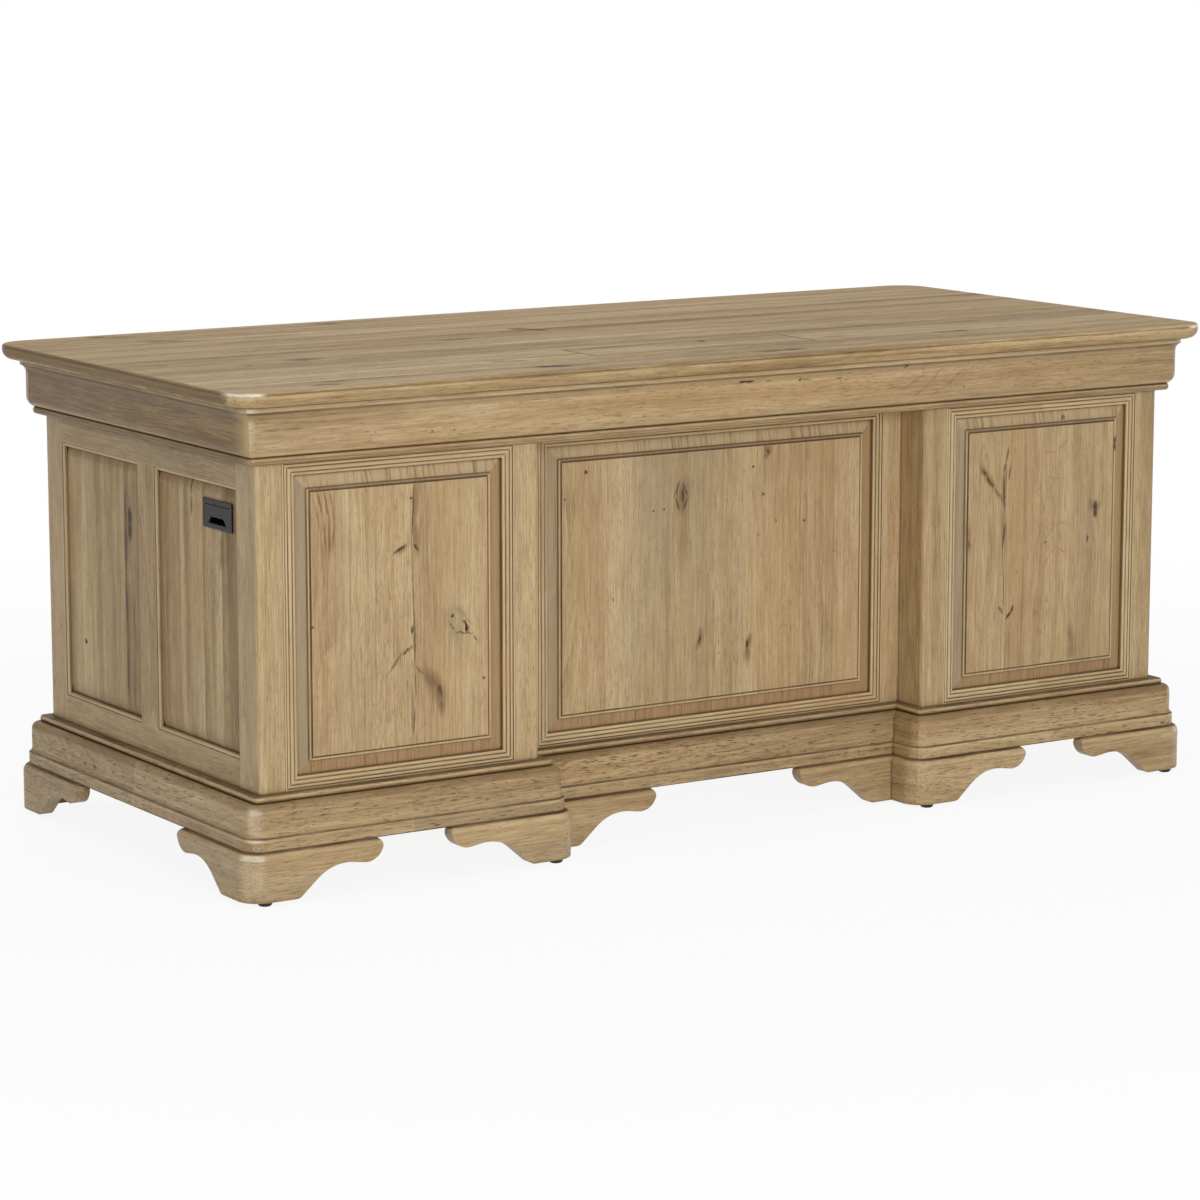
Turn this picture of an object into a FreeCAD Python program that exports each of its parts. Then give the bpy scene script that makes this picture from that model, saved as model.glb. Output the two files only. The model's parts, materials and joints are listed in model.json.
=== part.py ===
import FreeCAD, Part
import math
import os
from FreeCAD import Vector

# Double-pedestal writing desk. Millimetres, +Z up, X along the desk's length.
# The origin is on the floor under the middle of the top. The panelled visitor side
# faces -Y, the drawers and the kneehole open to +Y.

# Overall size
DESK_LENGTH = 1829.0
DESK_DEPTH = 838.0
DESK_HEIGHT = 762.0

# Heights of the layers, from the floor up
GLIDE_HEIGHT = 6.0
FOOT_HEIGHT = 74.5
PLINTH_HEIGHT = 78.5
FRIEZE_HEIGHT = 88.0
TOP_THICKNESS = 24.0

# Plan of the body under the top
TOP_OVERHANG = 62.5
PEDESTAL_WIDTH = 485.0
BREAK_DEPTH = 64.0
CORNER_AXIS = 8.0

# Edge moulding of the top, as reach out from the body's faces
TOP_UNDER_REACH = 47.0
TOP_OVOLO_HEIGHT = 16.0
TOP_ARRIS = 4.0

# Frieze moulding
BEAD_REACH = 16.0
BEAD_BASE = 12.5
BEAD_HEIGHT = 11.5
NOTCH_REACH = 14.0
FRIEZE_REACH = 26.0
FRIEZE_ROUND_HEIGHT = 17.0
CORNICE_REACH = 35.0
CORNICE_COVE_HEIGHT = 12.0
CORNICE_FILLET_HEIGHT = 9.0
FRIEZE_BACK = 20.0

# Plinth moulding
PLINTH_REACH = 35.0
PLINTH_FILLET_HEIGHT = 19.0
PLINTH_COVE_HEIGHT = 8.5
CUSHION_REACH = 30.0
CUSHION_HEIGHT = 29.0
PLINTH_BEAD_HEIGHT = 10.5

# Scrolled bracket feet
FOOT_REACH = 45.0
FOOT_THICKNESS = 23.0
FOOT_SHOULDER = 11.0
FOOT_EASE = 3.0
WING_LENGTH = 228.0
PAD_LENGTH = 85.0
PAD_ROUND = 20.0
PAD_BITE = 0.3
ARCH_SLOPE = 41.0
ARCH_RADIUS = 75.0
ARCH_DROP = 29.0
LOBE_RADIUS = 29.0
LOBE_DROP = 4.0
NOSE_RADIUS = 12.0
NOSE_ANGLE = 20.0
SAW_OVERRUN = 5.0
BLOCK_SIZE = 60.0
BLOCK_LIFT = 47.0
GLIDE_RADIUS = 11.0
GLIDE_FLAT = 6.0
GLIDE_RIM = 1.5
GLIDE_INSET = 14.5
GLIDE_FROM_CORNER = 35.0

# Posts, walls and floors
POST_WIDTH = 43.5
POST_DEPTH = 60.0
POST_ROUND = 8.0
STILE_WIDTH = 35.0
STILE_THICKNESS = 22.0
WALL_THICKNESS = 18.0
FLOOR_THICKNESS = 12.0
FLOOR_FRONT = 150.0
FLOOR_REAR_GAP = 2.0
BOTTOM_THICKNESS = 18.0
BOTTOM_LIFT = 40.0

# Raised panels of the visitor side, each in a mitred moulding. The field has a bead round it
# and stands above a bevel that falls to the moulding.
PANEL_RECESS = 1.0
PANEL_THICKNESS = 22.0
MOULDING_WIDTH = 21.0
MOULDING_FILLET = 3.0
MOULDING_RISE = 7.3
MOULDING_EDGE = 4.6
OUTER_REED = 5.6
MIDDLE_REED = 7.0
REED_BULGE = 1.2
FIELD_BEVEL = 20.0
FIELD_DROP = 6.0
FIELD_STEP = 3.2
FIELD_BEAD = 4.6
BEAD_SIDE = 1.4
BEAD_SINK = 0.2
QUIRK_WIDTH = 1.9
QUIRK_DEPTH = 1.6

# Frame and panels of the two ends
END_THICKNESS = 22.0
END_TOP_RAIL = 39.0
END_BOTTOM_RAIL = 42.0
MUNTIN_WIDTH = 55.0
END_RECESS = 6.0
END_PANEL_THICKNESS = 14.0
END_BEAD_WIDTH = 7.0
END_BEAD_QUIRK = 1.0
END_BEAD_CREST = 5.0
END_BEAD_CREST_RISE = 4.0
BEVEL_WIDTH = 13.0
BEVEL_DEPTH = 2.5

# Cable outlet in the left end
OUTLET_WIDTH = 92.0
OUTLET_HEIGHT = 43.0
OUTLET_FROM_POST = 22.0
OUTLET_BELOW_FRIEZE = 69.0
OUTLET_RIM = 5.0
OUTLET_TOP_BAND = 7.0
OUTLET_SILL = 7.0
BEZEL_THICKNESS = 3.0
SLEEVE_WALL = 2.0
SLEEVE_DEPTH = 18.0
SLEEVE_CLEARANCE = 0.2
FLAP_THICKNESS = 2.6
FLAP_GAP = 0.5
FLAP_PIN_RADIUS = 1.0
FLAP_PIN_LENGTH = 3.0
NOTCH_WIDTH = 58.0
NOTCH_TOP_WIDTH = 40.0
NOTCH_HEIGHT = 10.0
PIN_CLEARANCE = 0.05

# Cable lid in the top
LID_LENGTH = 420.0
LID_WIDTH = 100.0
LID_FROM_CENTER = 170.0
LID_GAP = 1.5
LEDGE_WIDTH = 8.0
LEDGE_THICKNESS = 8.0
LID_REST_GAP = 0.2
LID_PIN_RADIUS = 2.0
LID_PIN_DEPTH = 4.0
LID_PIN_INSET = 6.0
LID_PIN_SEAT = 8.0

# Drawers of the user side
DRAWER_GAP = 2.0
SLIDE_GAP = 0.5
SIDE_THICKNESS = 12.0
BOX_BOTTOM_THICKNESS = 6.0
BOX_BOTTOM_LIFT = 8.0
BOX_DEPTH = 480.0
FRONT_THICKNESS = 20.0
BOTTOM_RAIL_RISE = 21.0
RAIL_THICKNESS = 22.0
MID_RAIL_HEIGHT = 20.0
UPPER_FRONT_HEIGHT = 152.0
UPPER_BOX_DROP = 32.0
FILE_BOX_DROP = 40.0
FRIEZE_BOX_DROP = 13.5
FRIEZE_SPLIT_GAP = 2.0
FRIEZE_FRONT_GAP = 1.5
RUNNER_WIDTH = 22.0
RUNNER_HEIGHT = 20.0
RUNNER_POST_LAP = 24.0
KNOB_RADIUS = 15.0
KNOB_BASE = 10.5
KNOB_NECK = 7.0
KNOB_NECK_LENGTH = 11.0
KNOB_DOME = 8.0
KNOB_LENGTH = 28.0

# Levels and faces that follow from the sizes above
UP = Vector(0, 0, 1)
EAST = Vector(1, 0, 0)
NORTH = Vector(0, 1, 0)
ORIGIN = Vector(0, 0, 0)
FOOT_Z = GLIDE_HEIGHT
PLINTH_Z = FOOT_Z + FOOT_HEIGHT
BODY_Z = PLINTH_Z + PLINTH_HEIGHT
TOP_Z = DESK_HEIGHT - TOP_THICKNESS
FRIEZE_Z = TOP_Z - FRIEZE_HEIGHT
FLOOR_Z = FRIEZE_Z + FLOOR_THICKNESS
BODY_X = DESK_LENGTH / 2 - TOP_OVERHANG
BODY_Y = DESK_DEPTH / 2 - TOP_OVERHANG
KNEE_X = BODY_X - PEDESTAL_WIDTH
CENTER_Y = BODY_Y - BREAK_DEPTH
STILE_BACK_Y = CENTER_Y - STILE_THICKNESS
OPEN_OUTER_X = BODY_X - POST_WIDTH
OPEN_INNER_X = KNEE_X + POST_WIDTH
OPEN_Y = BODY_Y - POST_DEPTH
CENTER_OPEN_X = KNEE_X - STILE_WIDTH
END_RAIL_Z = BODY_Z + END_BOTTOM_RAIL
END_HEAD_Z = FRIEZE_Z - END_TOP_RAIL

# Ends of a length of moulding: square, or mitred at an inside or a rounded outside corner.
# WRAP carries the profile all the way round the corner.
SQUARE = "square"
HOLLOW = "hollow"
ROUND = "round"
WRAP = "wrap"
CORNER_ANGLE = 90.0
FULL_TURN = 4 * CORNER_ANGLE
SWEEP = {ROUND: CORNER_ANGLE / 2, WRAP: CORNER_ANGLE}


def block(x0, x1, y0, y1, z0, z1):
    """Rectangular board between two corners."""
    return Part.makeBox(x1 - x0, y1 - y0, z1 - z0, Vector(x0, y0, z0))


def outline(place, start, steps):
    """Closed face from start through steps. A step is a point, or (through, end) for an arc."""
    edges = []
    here = start
    for step in steps + [start]:
        if isinstance(step[0], tuple):
            through, end = step
            edges.append(Part.Arc(place(*here), place(*through), place(*end)).toShape())
        else:
            end = step
            edges.append(Part.makeLine(place(*here), place(*end)))
        here = end
    return Part.Face(Part.Wire(edges))


def upright_arc(upright, other):
    """Point half way along the arc that is vertical at one end and passes the other end."""
    across = other[0] - upright[0]
    rise = other[1] - upright[1]
    radius = (across * across + rise * rise) / (2 * abs(across))
    center = (upright[0] + math.copysign(radius, across), upright[1])
    first = math.atan2(upright[1] - center[1], upright[0] - center[0])
    turn = math.atan2(other[1] - center[1], other[0] - center[0]) - first
    turn = math.atan2(math.sin(turn), math.cos(turn))
    middle = first + turn / 2
    return (center[0] + radius * math.cos(middle), center[1] + radius * math.sin(middle))


def on_circle(center, radius, degrees):
    """Point of a circle at an angle."""
    angle = math.radians(degrees)
    return (center[0] + radius * math.cos(angle), center[1] + radius * math.sin(angle))


def joined(solids):
    """One solid from pieces that share faces."""
    return solids[0].multiFuse(solids[1:]).removeSplitter()


def mirrored(shapes):
    """The same pieces on the desk's right half."""
    return [shape.mirror(ORIGIN, EAST) for shape in shapes]


def both(shapes):
    """Pieces of the left half together with their mirror images."""
    return shapes + mirrored(shapes)


def save(name, shapes):
    """Write one node."""
    Part.makeCompound(shapes).exportStep("parts/" + name + ".step")


def out(reach):
    """Distance from the line through the corner axes to a given reach from the body's face."""
    return reach - CORNER_AXIS


def run(profile, back, a, b, start, end):
    """A length of moulding from plan point a to b, with its profile on the right hand."""
    along = Vector(b - a).normalize()
    outward = Vector(along.y, -along.x, 0)
    length = (b - a).Length
    first, steps = profile
    far = DESK_DEPTH

    def plan(points, z0, z1):
        corners = [a + along * s + outward * w + UP * z0 for s, w in points]
        return Part.Face(Part.makePolygon(corners + corners[:1])).extrude(UP * (z1 - z0))

    def section(point):
        return outline(lambda w, z: point + outward * w + UP * z, first, steps)

    straight = section(a).extrude(along * length)
    if start == HOLLOW:
        straight = straight.cut(plan([(0, 0), (0, far), (far, far)], -far, far))
    if end == HOLLOW:
        straight = straight.cut(plan([(length, 0), (length, far), (length - far, far)], -far, far))
    pieces = [straight]
    if back > 0:
        shift = {ROUND: back, HOLLOW: -back}
        inner = [(shift.get(start, 0), -back), (0, 0), (length, 0), (length - shift.get(end, 0), -back)]
        pieces.append(plan(inner, first[1], steps[-1][1]))
    if start in SWEEP:
        pieces.append(section(a).revolve(a, UP, -SWEEP[start]))
    if end in SWEEP:
        pieces.append(section(b).revolve(b, UP, SWEEP[end]))
    return joined(pieces) if len(pieces) > 1 else straight


def bead(z0, z1):
    """Half-round bead between two levels of a moulding profile."""
    return [(out(BEAD_BASE), z0), ((out(BEAD_REACH), (z0 + z1) / 2), (out(BEAD_BASE), z1))]


def frieze_profile(top):
    """Bead, rounded frieze, cove and fillet, up to the level top."""
    notch_z = FRIEZE_Z + BEAD_HEIGHT
    round_z = notch_z + FRIEZE_ROUND_HEIGHT
    fillet_z = TOP_Z - CORNICE_FILLET_HEIGHT
    cove_z = fillet_z - CORNICE_COVE_HEIGHT
    notch = (out(NOTCH_REACH), notch_z)
    belly = (out(FRIEZE_REACH), round_z)
    hollow = (out(FRIEZE_REACH), cove_z)
    fillet = (out(CORNICE_REACH), fillet_z)
    steps = bead(FRIEZE_Z, notch_z) + [
        notch,
        (upright_arc(belly, notch), belly),
        hollow,
        (upright_arc(hollow, fillet), fillet),
        (out(CORNICE_REACH), top),
        (0, top)]
    return (0, FRIEZE_Z), steps


def plinth_profile():
    """Fillet, cove, cushion and bead of the plinth."""
    fillet_z = PLINTH_Z + PLINTH_FILLET_HEIGHT
    cushion_z = fillet_z + PLINTH_COVE_HEIGHT
    round_z = cushion_z + CUSHION_HEIGHT
    bead_z = BODY_Z - PLINTH_BEAD_HEIGHT
    fillet = (out(PLINTH_REACH), fillet_z)
    cushion = (out(CUSHION_REACH), cushion_z)
    shoulder = (out(CUSHION_REACH), round_z)
    notch = (out(NOTCH_REACH), bead_z)
    steps = [
        (out(PLINTH_REACH), PLINTH_Z),
        fillet,
        (upright_arc(cushion, fillet), cushion),
        shoulder,
        (upright_arc(shoulder, notch), notch)]
    return (0, PLINTH_Z), steps + bead(bead_z, BODY_Z) + [(0, BODY_Z)]


def top_profile():
    """Ovolo edge of the top with an eased upper arris."""
    under = (out(TOP_UNDER_REACH), TOP_Z)
    nose = (out(TOP_OVERHANG), TOP_Z + TOP_OVOLO_HEIGHT)
    arris = (out(TOP_OVERHANG), DESK_HEIGHT - TOP_ARRIS)
    edge = (out(TOP_OVERHANG) - TOP_ARRIS, DESK_HEIGHT)
    steps = [under, (upright_arc(nose, under), nose), arris, (upright_arc(arris, edge), edge)]
    return (0, TOP_Z), steps + [(0, DESK_HEIGHT)]


def foot_profile():
    """Upright board with an eased toe and a rounded shoulder."""
    face = out(FOOT_REACH)
    inner = face - FOOT_THICKNESS
    toe = (face - FOOT_EASE, FOOT_Z)
    eased = (face, FOOT_Z + FOOT_EASE)
    shoulder = (face, PLINTH_Z - FOOT_SHOULDER)
    crown = (face - FOOT_SHOULDER, PLINTH_Z)
    steps = [toe, (upright_arc(eased, toe), eased), shoulder, (upright_arc(shoulder, crown), crown)]
    return (inner, FOOT_Z), steps + [(inner, PLINTH_Z)]


def wing_waste(place):
    """Side view of what is sawn off a foot board: the rounded pad, the slope, the arch and the nosed lobe."""
    crown_z = PLINTH_Z - ARCH_DROP
    slope = math.radians(ARCH_SLOPE)
    heel_rise = PAD_ROUND * (1 - math.cos(slope)) - PAD_BITE
    heel = (PAD_LENGTH + heel_rise / math.tan(slope), FOOT_Z + heel_rise)
    pad = (heel[0] - PAD_ROUND * math.sin(slope), FOOT_Z + PAD_ROUND - PAD_BITE)
    pad_middle = ARCH_SLOPE / 2 - CORNER_ANGLE
    rise = crown_z - FOOT_Z - ARCH_RADIUS * (1 - math.cos(slope))
    climb = rise / math.sin(slope)
    springing = (PAD_LENGTH + climb * math.cos(slope), FOOT_Z + rise)
    arch = (springing[0] + ARCH_RADIUS * math.sin(slope), crown_z - ARCH_RADIUS)
    tuck = LOBE_RADIUS - NOSE_RADIUS
    lobe_s = WING_LENGTH - NOSE_RADIUS - tuck * math.cos(math.radians(NOSE_ANGLE))
    lobe = (lobe_s, PLINTH_Z - LOBE_DROP)
    nose = on_circle(lobe, tuck, -NOSE_ANGLE)
    across = lobe[0] - arch[0]
    up = lobe[1] - arch[1]
    tilt = math.atan2(up, across) - math.asin((ARCH_RADIUS + LOBE_RADIUS) / math.hypot(across, up))
    normal = math.degrees(tilt) + CORNER_ANGLE
    facing = normal - 2 * CORNER_ANGLE
    arch_middle = (normal + CORNER_ANGLE + ARCH_SLOPE) / 2
    lobe_middle = (facing - NOSE_ANGLE) / 2
    nose_middle = (CORNER_ANGLE - NOSE_ANGLE) / 2
    nose_top = on_circle(nose, NOSE_RADIUS, CORNER_ANGLE)
    past_tip = WING_LENGTH + 2 * FOOT_REACH
    below = FOOT_Z - SAW_OVERRUN
    steps = [
        on_circle(pad, PAD_ROUND, -CORNER_ANGLE),
        (on_circle(pad, PAD_ROUND, pad_middle), heel),
        springing,
        (on_circle(arch, ARCH_RADIUS, arch_middle), on_circle(arch, ARCH_RADIUS, normal)),
        on_circle(lobe, LOBE_RADIUS, facing),
        (on_circle(lobe, LOBE_RADIUS, lobe_middle), on_circle(lobe, LOBE_RADIUS, -NOSE_ANGLE)),
        (on_circle(nose, NOSE_RADIUS, nose_middle), nose_top),
        (past_tip, nose_top[1]),
        (past_tip, below)]
    return outline(place, (pad[0], below), steps)


def foot_wing(corner, along, outward, joint):
    """One scrolled board of a foot, from its corner axis towards the tip of its wing."""
    tip = corner + along * WING_LENGTH
    if Vector(along.y, -along.x, 0).dot(outward) > 0:
        board = run(foot_profile(), 0, corner, tip, joint, SQUARE)
    else:
        board = run(foot_profile(), 0, tip, corner, SQUARE, joint)
    lead = out(FOOT_REACH) if joint == ROUND else CORNER_AXIS
    foot = corner - along * lead - outward * (CORNER_AXIS + SAW_OVERRUN)
    waste = wing_waste(lambda s, z: foot + along * s + UP * z)
    return board.cut(waste.extrude(outward * (FOOT_REACH + 2 * SAW_OVERRUN)))


def frame_strips(profile, p0, p1, q0, q1, place):
    """Four mitred lengths of a small moulding round the inside of a rectangle."""
    start, steps = profile
    points = [start] + [step[1] if isinstance(step[0], tuple) else step for step in steps]
    width = max(point[0] for point in points)
    rise = max(point[1] for point in points)
    corners = [(p0, q0), (p1, q0), (p1, q1), (p0, q1)]
    strips = []
    for index, (p, q) in enumerate(corners):
        next_p, next_q = corners[(index + 1) % 4]
        length = math.hypot(next_p - p, next_q - q)
        dp = (next_p - p) / length
        dq = (next_q - q) / length

        def spot(s, w, h, p=p, q=q, dp=dp, dq=dq):
            return place(p + dp * s - dq * w, q + dq * s + dp * w, h)

        section = outline(lambda w, h: spot(0, w, h), start, steps)
        bar = section.extrude(spot(length, 0, 0) - spot(0, 0, 0))
        mitre = [(0, 0), (length, 0), (length - width, width), (width, width)]
        ring = [spot(s, w, -rise) for s, w in mitre]
        trim = Part.Face(Part.makePolygon(ring + ring[:1]))
        depth = spot(0, 0, rise * 2) - spot(0, 0, -rise)
        strips.append(bar.common(trim.extrude(depth)))
    return strips


def panel_moulding_profile():
    """Fillet and three reeds, as width inwards and rise from the margin of the panel."""
    root = MOULDING_RISE - REED_BULGE
    first = MOULDING_FILLET + OUTER_REED
    second = first + MIDDLE_REED
    return (0, 0), [
        (0, MOULDING_RISE),
        (MOULDING_FILLET, MOULDING_RISE),
        (MOULDING_FILLET, root),
        (((MOULDING_FILLET + first) / 2, MOULDING_RISE), (first, root)),
        (((first + second) / 2, MOULDING_RISE), (second, root)),
        (((second + MOULDING_WIDTH) / 2, root + REED_BULGE / 2), (MOULDING_WIDTH, MOULDING_EDGE)),
        (MOULDING_WIDTH, 0)]


def field_waste_profile():
    """What is cut away round the field, as width inwards and depth from the field: margin, bevel and quirk."""
    bead_foot = MOULDING_WIDTH + FIELD_BEVEL
    quirk = bead_foot + FIELD_BEAD
    edge = quirk + QUIRK_WIDTH
    crest = (bead_foot + FIELD_BEAD / 2, BEAD_SINK)
    return (0, 0), [
        (edge, 0),
        (edge, QUIRK_DEPTH),
        (quirk, QUIRK_DEPTH),
        (crest, (bead_foot, BEAD_SIDE)),
        (bead_foot, FIELD_STEP),
        (MOULDING_WIDTH, FIELD_DROP),
        (0, FIELD_DROP)]


def end_bead_profile():
    """Quirked ovolo round an end panel."""
    shoulder = (END_BEAD_QUIRK, END_RECESS - END_BEAD_QUIRK)
    toe = (END_BEAD_WIDTH, 0)
    middle = (END_BEAD_CREST, END_BEAD_CREST_RISE)
    return (0, 0), [(0, END_RECESS), (END_BEAD_QUIRK, END_RECESS), shoulder, (middle, toe)]


def make_top():
    """Top board with the slot for the cable lid, its ledge and the holes for the lid's pins."""
    corners = [Vector(sx * (BODY_X + CORNER_AXIS), sy * (BODY_Y + CORNER_AXIS), 0)
               for sx, sy in ((-1, 1), (-1, -1), (1, -1), (1, 1))]
    pieces = [run(top_profile(), 0, corners[i], corners[(i + 1) % 4], ROUND, ROUND) for i in range(4)]
    core_x = BODY_X + CORNER_AXIS
    core_y = BODY_Y + CORNER_AXIS
    pieces.append(block(-core_x, core_x, -core_y, core_y, TOP_Z, DESK_HEIGHT))
    board = joined(pieces)
    half = LID_LENGTH / 2
    front = -LID_FROM_CENTER - LID_WIDTH
    rear = -LID_FROM_CENTER
    ledge_z = TOP_Z + LEDGE_THICKNESS
    board = board.cut(block(-half, half, front, rear, ledge_z, DESK_HEIGHT))
    board = board.cut(block(-half, half, front, rear - LEDGE_WIDTH, TOP_Z, ledge_z))
    pin_y = front + LID_GAP + LID_PIN_INSET
    pin_z = DESK_HEIGHT - LID_PIN_DEPTH
    bore = 2 * (half + LID_PIN_SEAT)
    bore_start = Vector(-bore / 2, pin_y, pin_z)
    hole = Part.makeCylinder(LID_PIN_RADIUS + PIN_CLEARANCE, bore, bore_start, EAST)
    save("top_board", [board.cut(hole)])

    lid_half = half - LID_GAP
    lid = block(-lid_half, lid_half, front + LID_GAP, rear - LID_GAP, ledge_z + LID_REST_GAP, DESK_HEIGHT)
    pin_length = 2 * LID_PIN_SEAT
    pins = []
    for side in (-1, 1):
        base = Vector(side * (half + LID_PIN_SEAT - LID_GAP), pin_y, pin_z)
        pins.append(Part.makeCylinder(LID_PIN_RADIUS, pin_length, base, EAST * -side))
    save("access_lid", [lid.cut(pins[0]).cut(pins[1])])
    save("lid_pins", pins)


def make_frieze():
    """Moulded frieze on three sides, with the floor and dividers of the frieze drawers."""
    axis_x = BODY_X + CORNER_AXIS
    axis_y = BODY_Y + CORNER_AXIS
    back = FRIEZE_BACK + CORNER_AXIS
    profile = frieze_profile(TOP_Z)
    left = run(profile, back, Vector(-axis_x, BODY_Y, 0), Vector(-axis_x, -axis_y, 0), SQUARE, ROUND)
    front = run(profile, back, Vector(-axis_x, -axis_y, 0), Vector(axis_x, -axis_y, 0), ROUND, ROUND)
    save("frieze_left", [left])
    save("frieze_right", mirrored([left]))
    save("frieze_front", [front])
    inside = BODY_X - FRIEZE_BACK
    rear = BODY_Y - FLOOR_REAR_GAP
    save("frieze_floor", [block(-inside, inside, -FLOOR_FRONT, rear, FRIEZE_Z, FLOOR_Z)])
    divider = block(-KNEE_X, -KNEE_X + WALL_THICKNESS, -FLOOR_FRONT, rear, FLOOR_Z, TOP_Z)
    save("frieze_dividers", both([divider]))
    lip = block(-OPEN_INNER_X, OPEN_INNER_X, -BODY_Y + FRIEZE_BACK, -STILE_BACK_Y, FRIEZE_Z, FLOOR_Z)
    save("center_soffit", [lip])


def post(corner_x, corner_y, reach_x, reach_y):
    """Upright with its outer arris rounded, from a body corner inwards."""
    round_x = math.copysign(POST_ROUND, reach_x)
    round_y = math.copysign(POST_ROUND, reach_y)
    inset = 1 - math.sqrt(0.5)
    steps = [
        ((round_x * inset, round_y * inset), (round_x, 0)),
        (reach_x, 0),
        (reach_x, reach_y),
        (0, reach_y)]
    plan = outline(lambda x, y: Vector(corner_x + x, corner_y + y, PLINTH_Z), (0, round_y), steps)
    return plan.extrude(UP * (FRIEZE_Z - PLINTH_Z))


def make_carcase():
    """Posts, kneehole walls, bottoms and drawer rails of the pedestals."""
    save("pedestal_posts", both([
        post(-BODY_X, -BODY_Y, POST_WIDTH, POST_DEPTH),
        post(-BODY_X, BODY_Y, POST_WIDTH, -POST_DEPTH),
        post(-KNEE_X, -BODY_Y, -POST_WIDTH, BODY_Y - STILE_BACK_Y),
        post(-KNEE_X, BODY_Y, -POST_WIDTH, -POST_DEPTH)]))
    stile = block(-KNEE_X, -CENTER_OPEN_X, -CENTER_Y, -STILE_BACK_Y, PLINTH_Z, FRIEZE_Z)
    save("center_stiles", both([stile]))
    wall = block(-KNEE_X - WALL_THICKNESS, -KNEE_X, -STILE_BACK_Y, OPEN_Y, PLINTH_Z, FRIEZE_Z)
    save("kneehole_sides", both([wall]))
    bottom_z = PLINTH_Z + BOTTOM_LIFT
    panel_back = BODY_Y - PANEL_RECESS - PANEL_THICKNESS
    bottom = block(-OPEN_OUTER_X, -OPEN_INNER_X, -panel_back, BODY_Y - RAIL_THICKNESS,
                   bottom_z, bottom_z + BOTTOM_THICKNESS)
    save("pedestal_bottoms", both([bottom]))
    low_rail = block(-OPEN_OUTER_X, -OPEN_INNER_X, BODY_Y - RAIL_THICKNESS, BODY_Y,
                     PLINTH_Z, BODY_Z + BOTTOM_RAIL_RISE)
    mid_z = mid_rail_level()
    mid_rail = block(-OPEN_OUTER_X, -OPEN_INNER_X, OPEN_Y, BODY_Y, mid_z, mid_z + MID_RAIL_HEIGHT)
    save("drawer_rails", both([low_rail, mid_rail]))


def file_front_level():
    """Underside of the lower drawer front."""
    return BODY_Z + BOTTOM_RAIL_RISE + DRAWER_GAP


def upper_front_level():
    """Underside of the upper drawer front."""
    return FRIEZE_Z - DRAWER_GAP - UPPER_FRONT_HEIGHT


def mid_rail_level():
    """Underside of the rail between the two drawers of a pedestal."""
    return upper_front_level() - DRAWER_GAP - MID_RAIL_HEIGHT


def framed_panel(x0, x1, face_y):
    """Raised panel with a bead round its field, and the mitred moulding in front of its margin."""
    front = -face_y + PANEL_RECESS
    margin = front + FIELD_DROP
    panel = block(x0, x1, front, front + PANEL_THICKNESS, BODY_Z, FRIEZE_Z)

    def below_field(x, z, depth):
        return Vector(x, front + depth, z)

    def above_margin(x, z, rise):
        return Vector(x, margin - rise, z)

    waste = frame_strips(field_waste_profile(), x0, x1, BODY_Z, FRIEZE_Z, below_field)
    strips = frame_strips(panel_moulding_profile(), x0, x1, BODY_Z, FRIEZE_Z, above_margin)
    return panel.cut(joined(waste)), strips


def make_visitor_side():
    """Three moulded panels of the visitor side."""
    panel, strips = framed_panel(-OPEN_OUTER_X, -OPEN_INNER_X, BODY_Y)
    save("left_front_panel", [panel])
    save("left_panel_moulding", strips)
    save("right_front_panel", mirrored([panel]))
    save("right_panel_moulding", mirrored(strips))
    panel, strips = framed_panel(-CENTER_OPEN_X, CENTER_OPEN_X, CENTER_Y)
    save("center_front_panel", [panel])
    save("center_panel_moulding", strips)


def outlet_place():
    """Lowest and highest y and z of the outlet's bezel."""
    y0 = -OPEN_Y + OUTLET_FROM_POST
    z1 = FRIEZE_Z - OUTLET_BELOW_FRIEZE
    return y0, y0 + OUTLET_WIDTH, z1 - OUTLET_HEIGHT, z1


def outlet_opening():
    """Lowest and highest y and z of the clear hole through the bezel."""
    y0, y1, z0, z1 = outlet_place()
    return y0 + OUTLET_RIM, y1 - OUTLET_RIM, z0 + OUTLET_SILL, z1 - OUTLET_TOP_BAND


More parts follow.
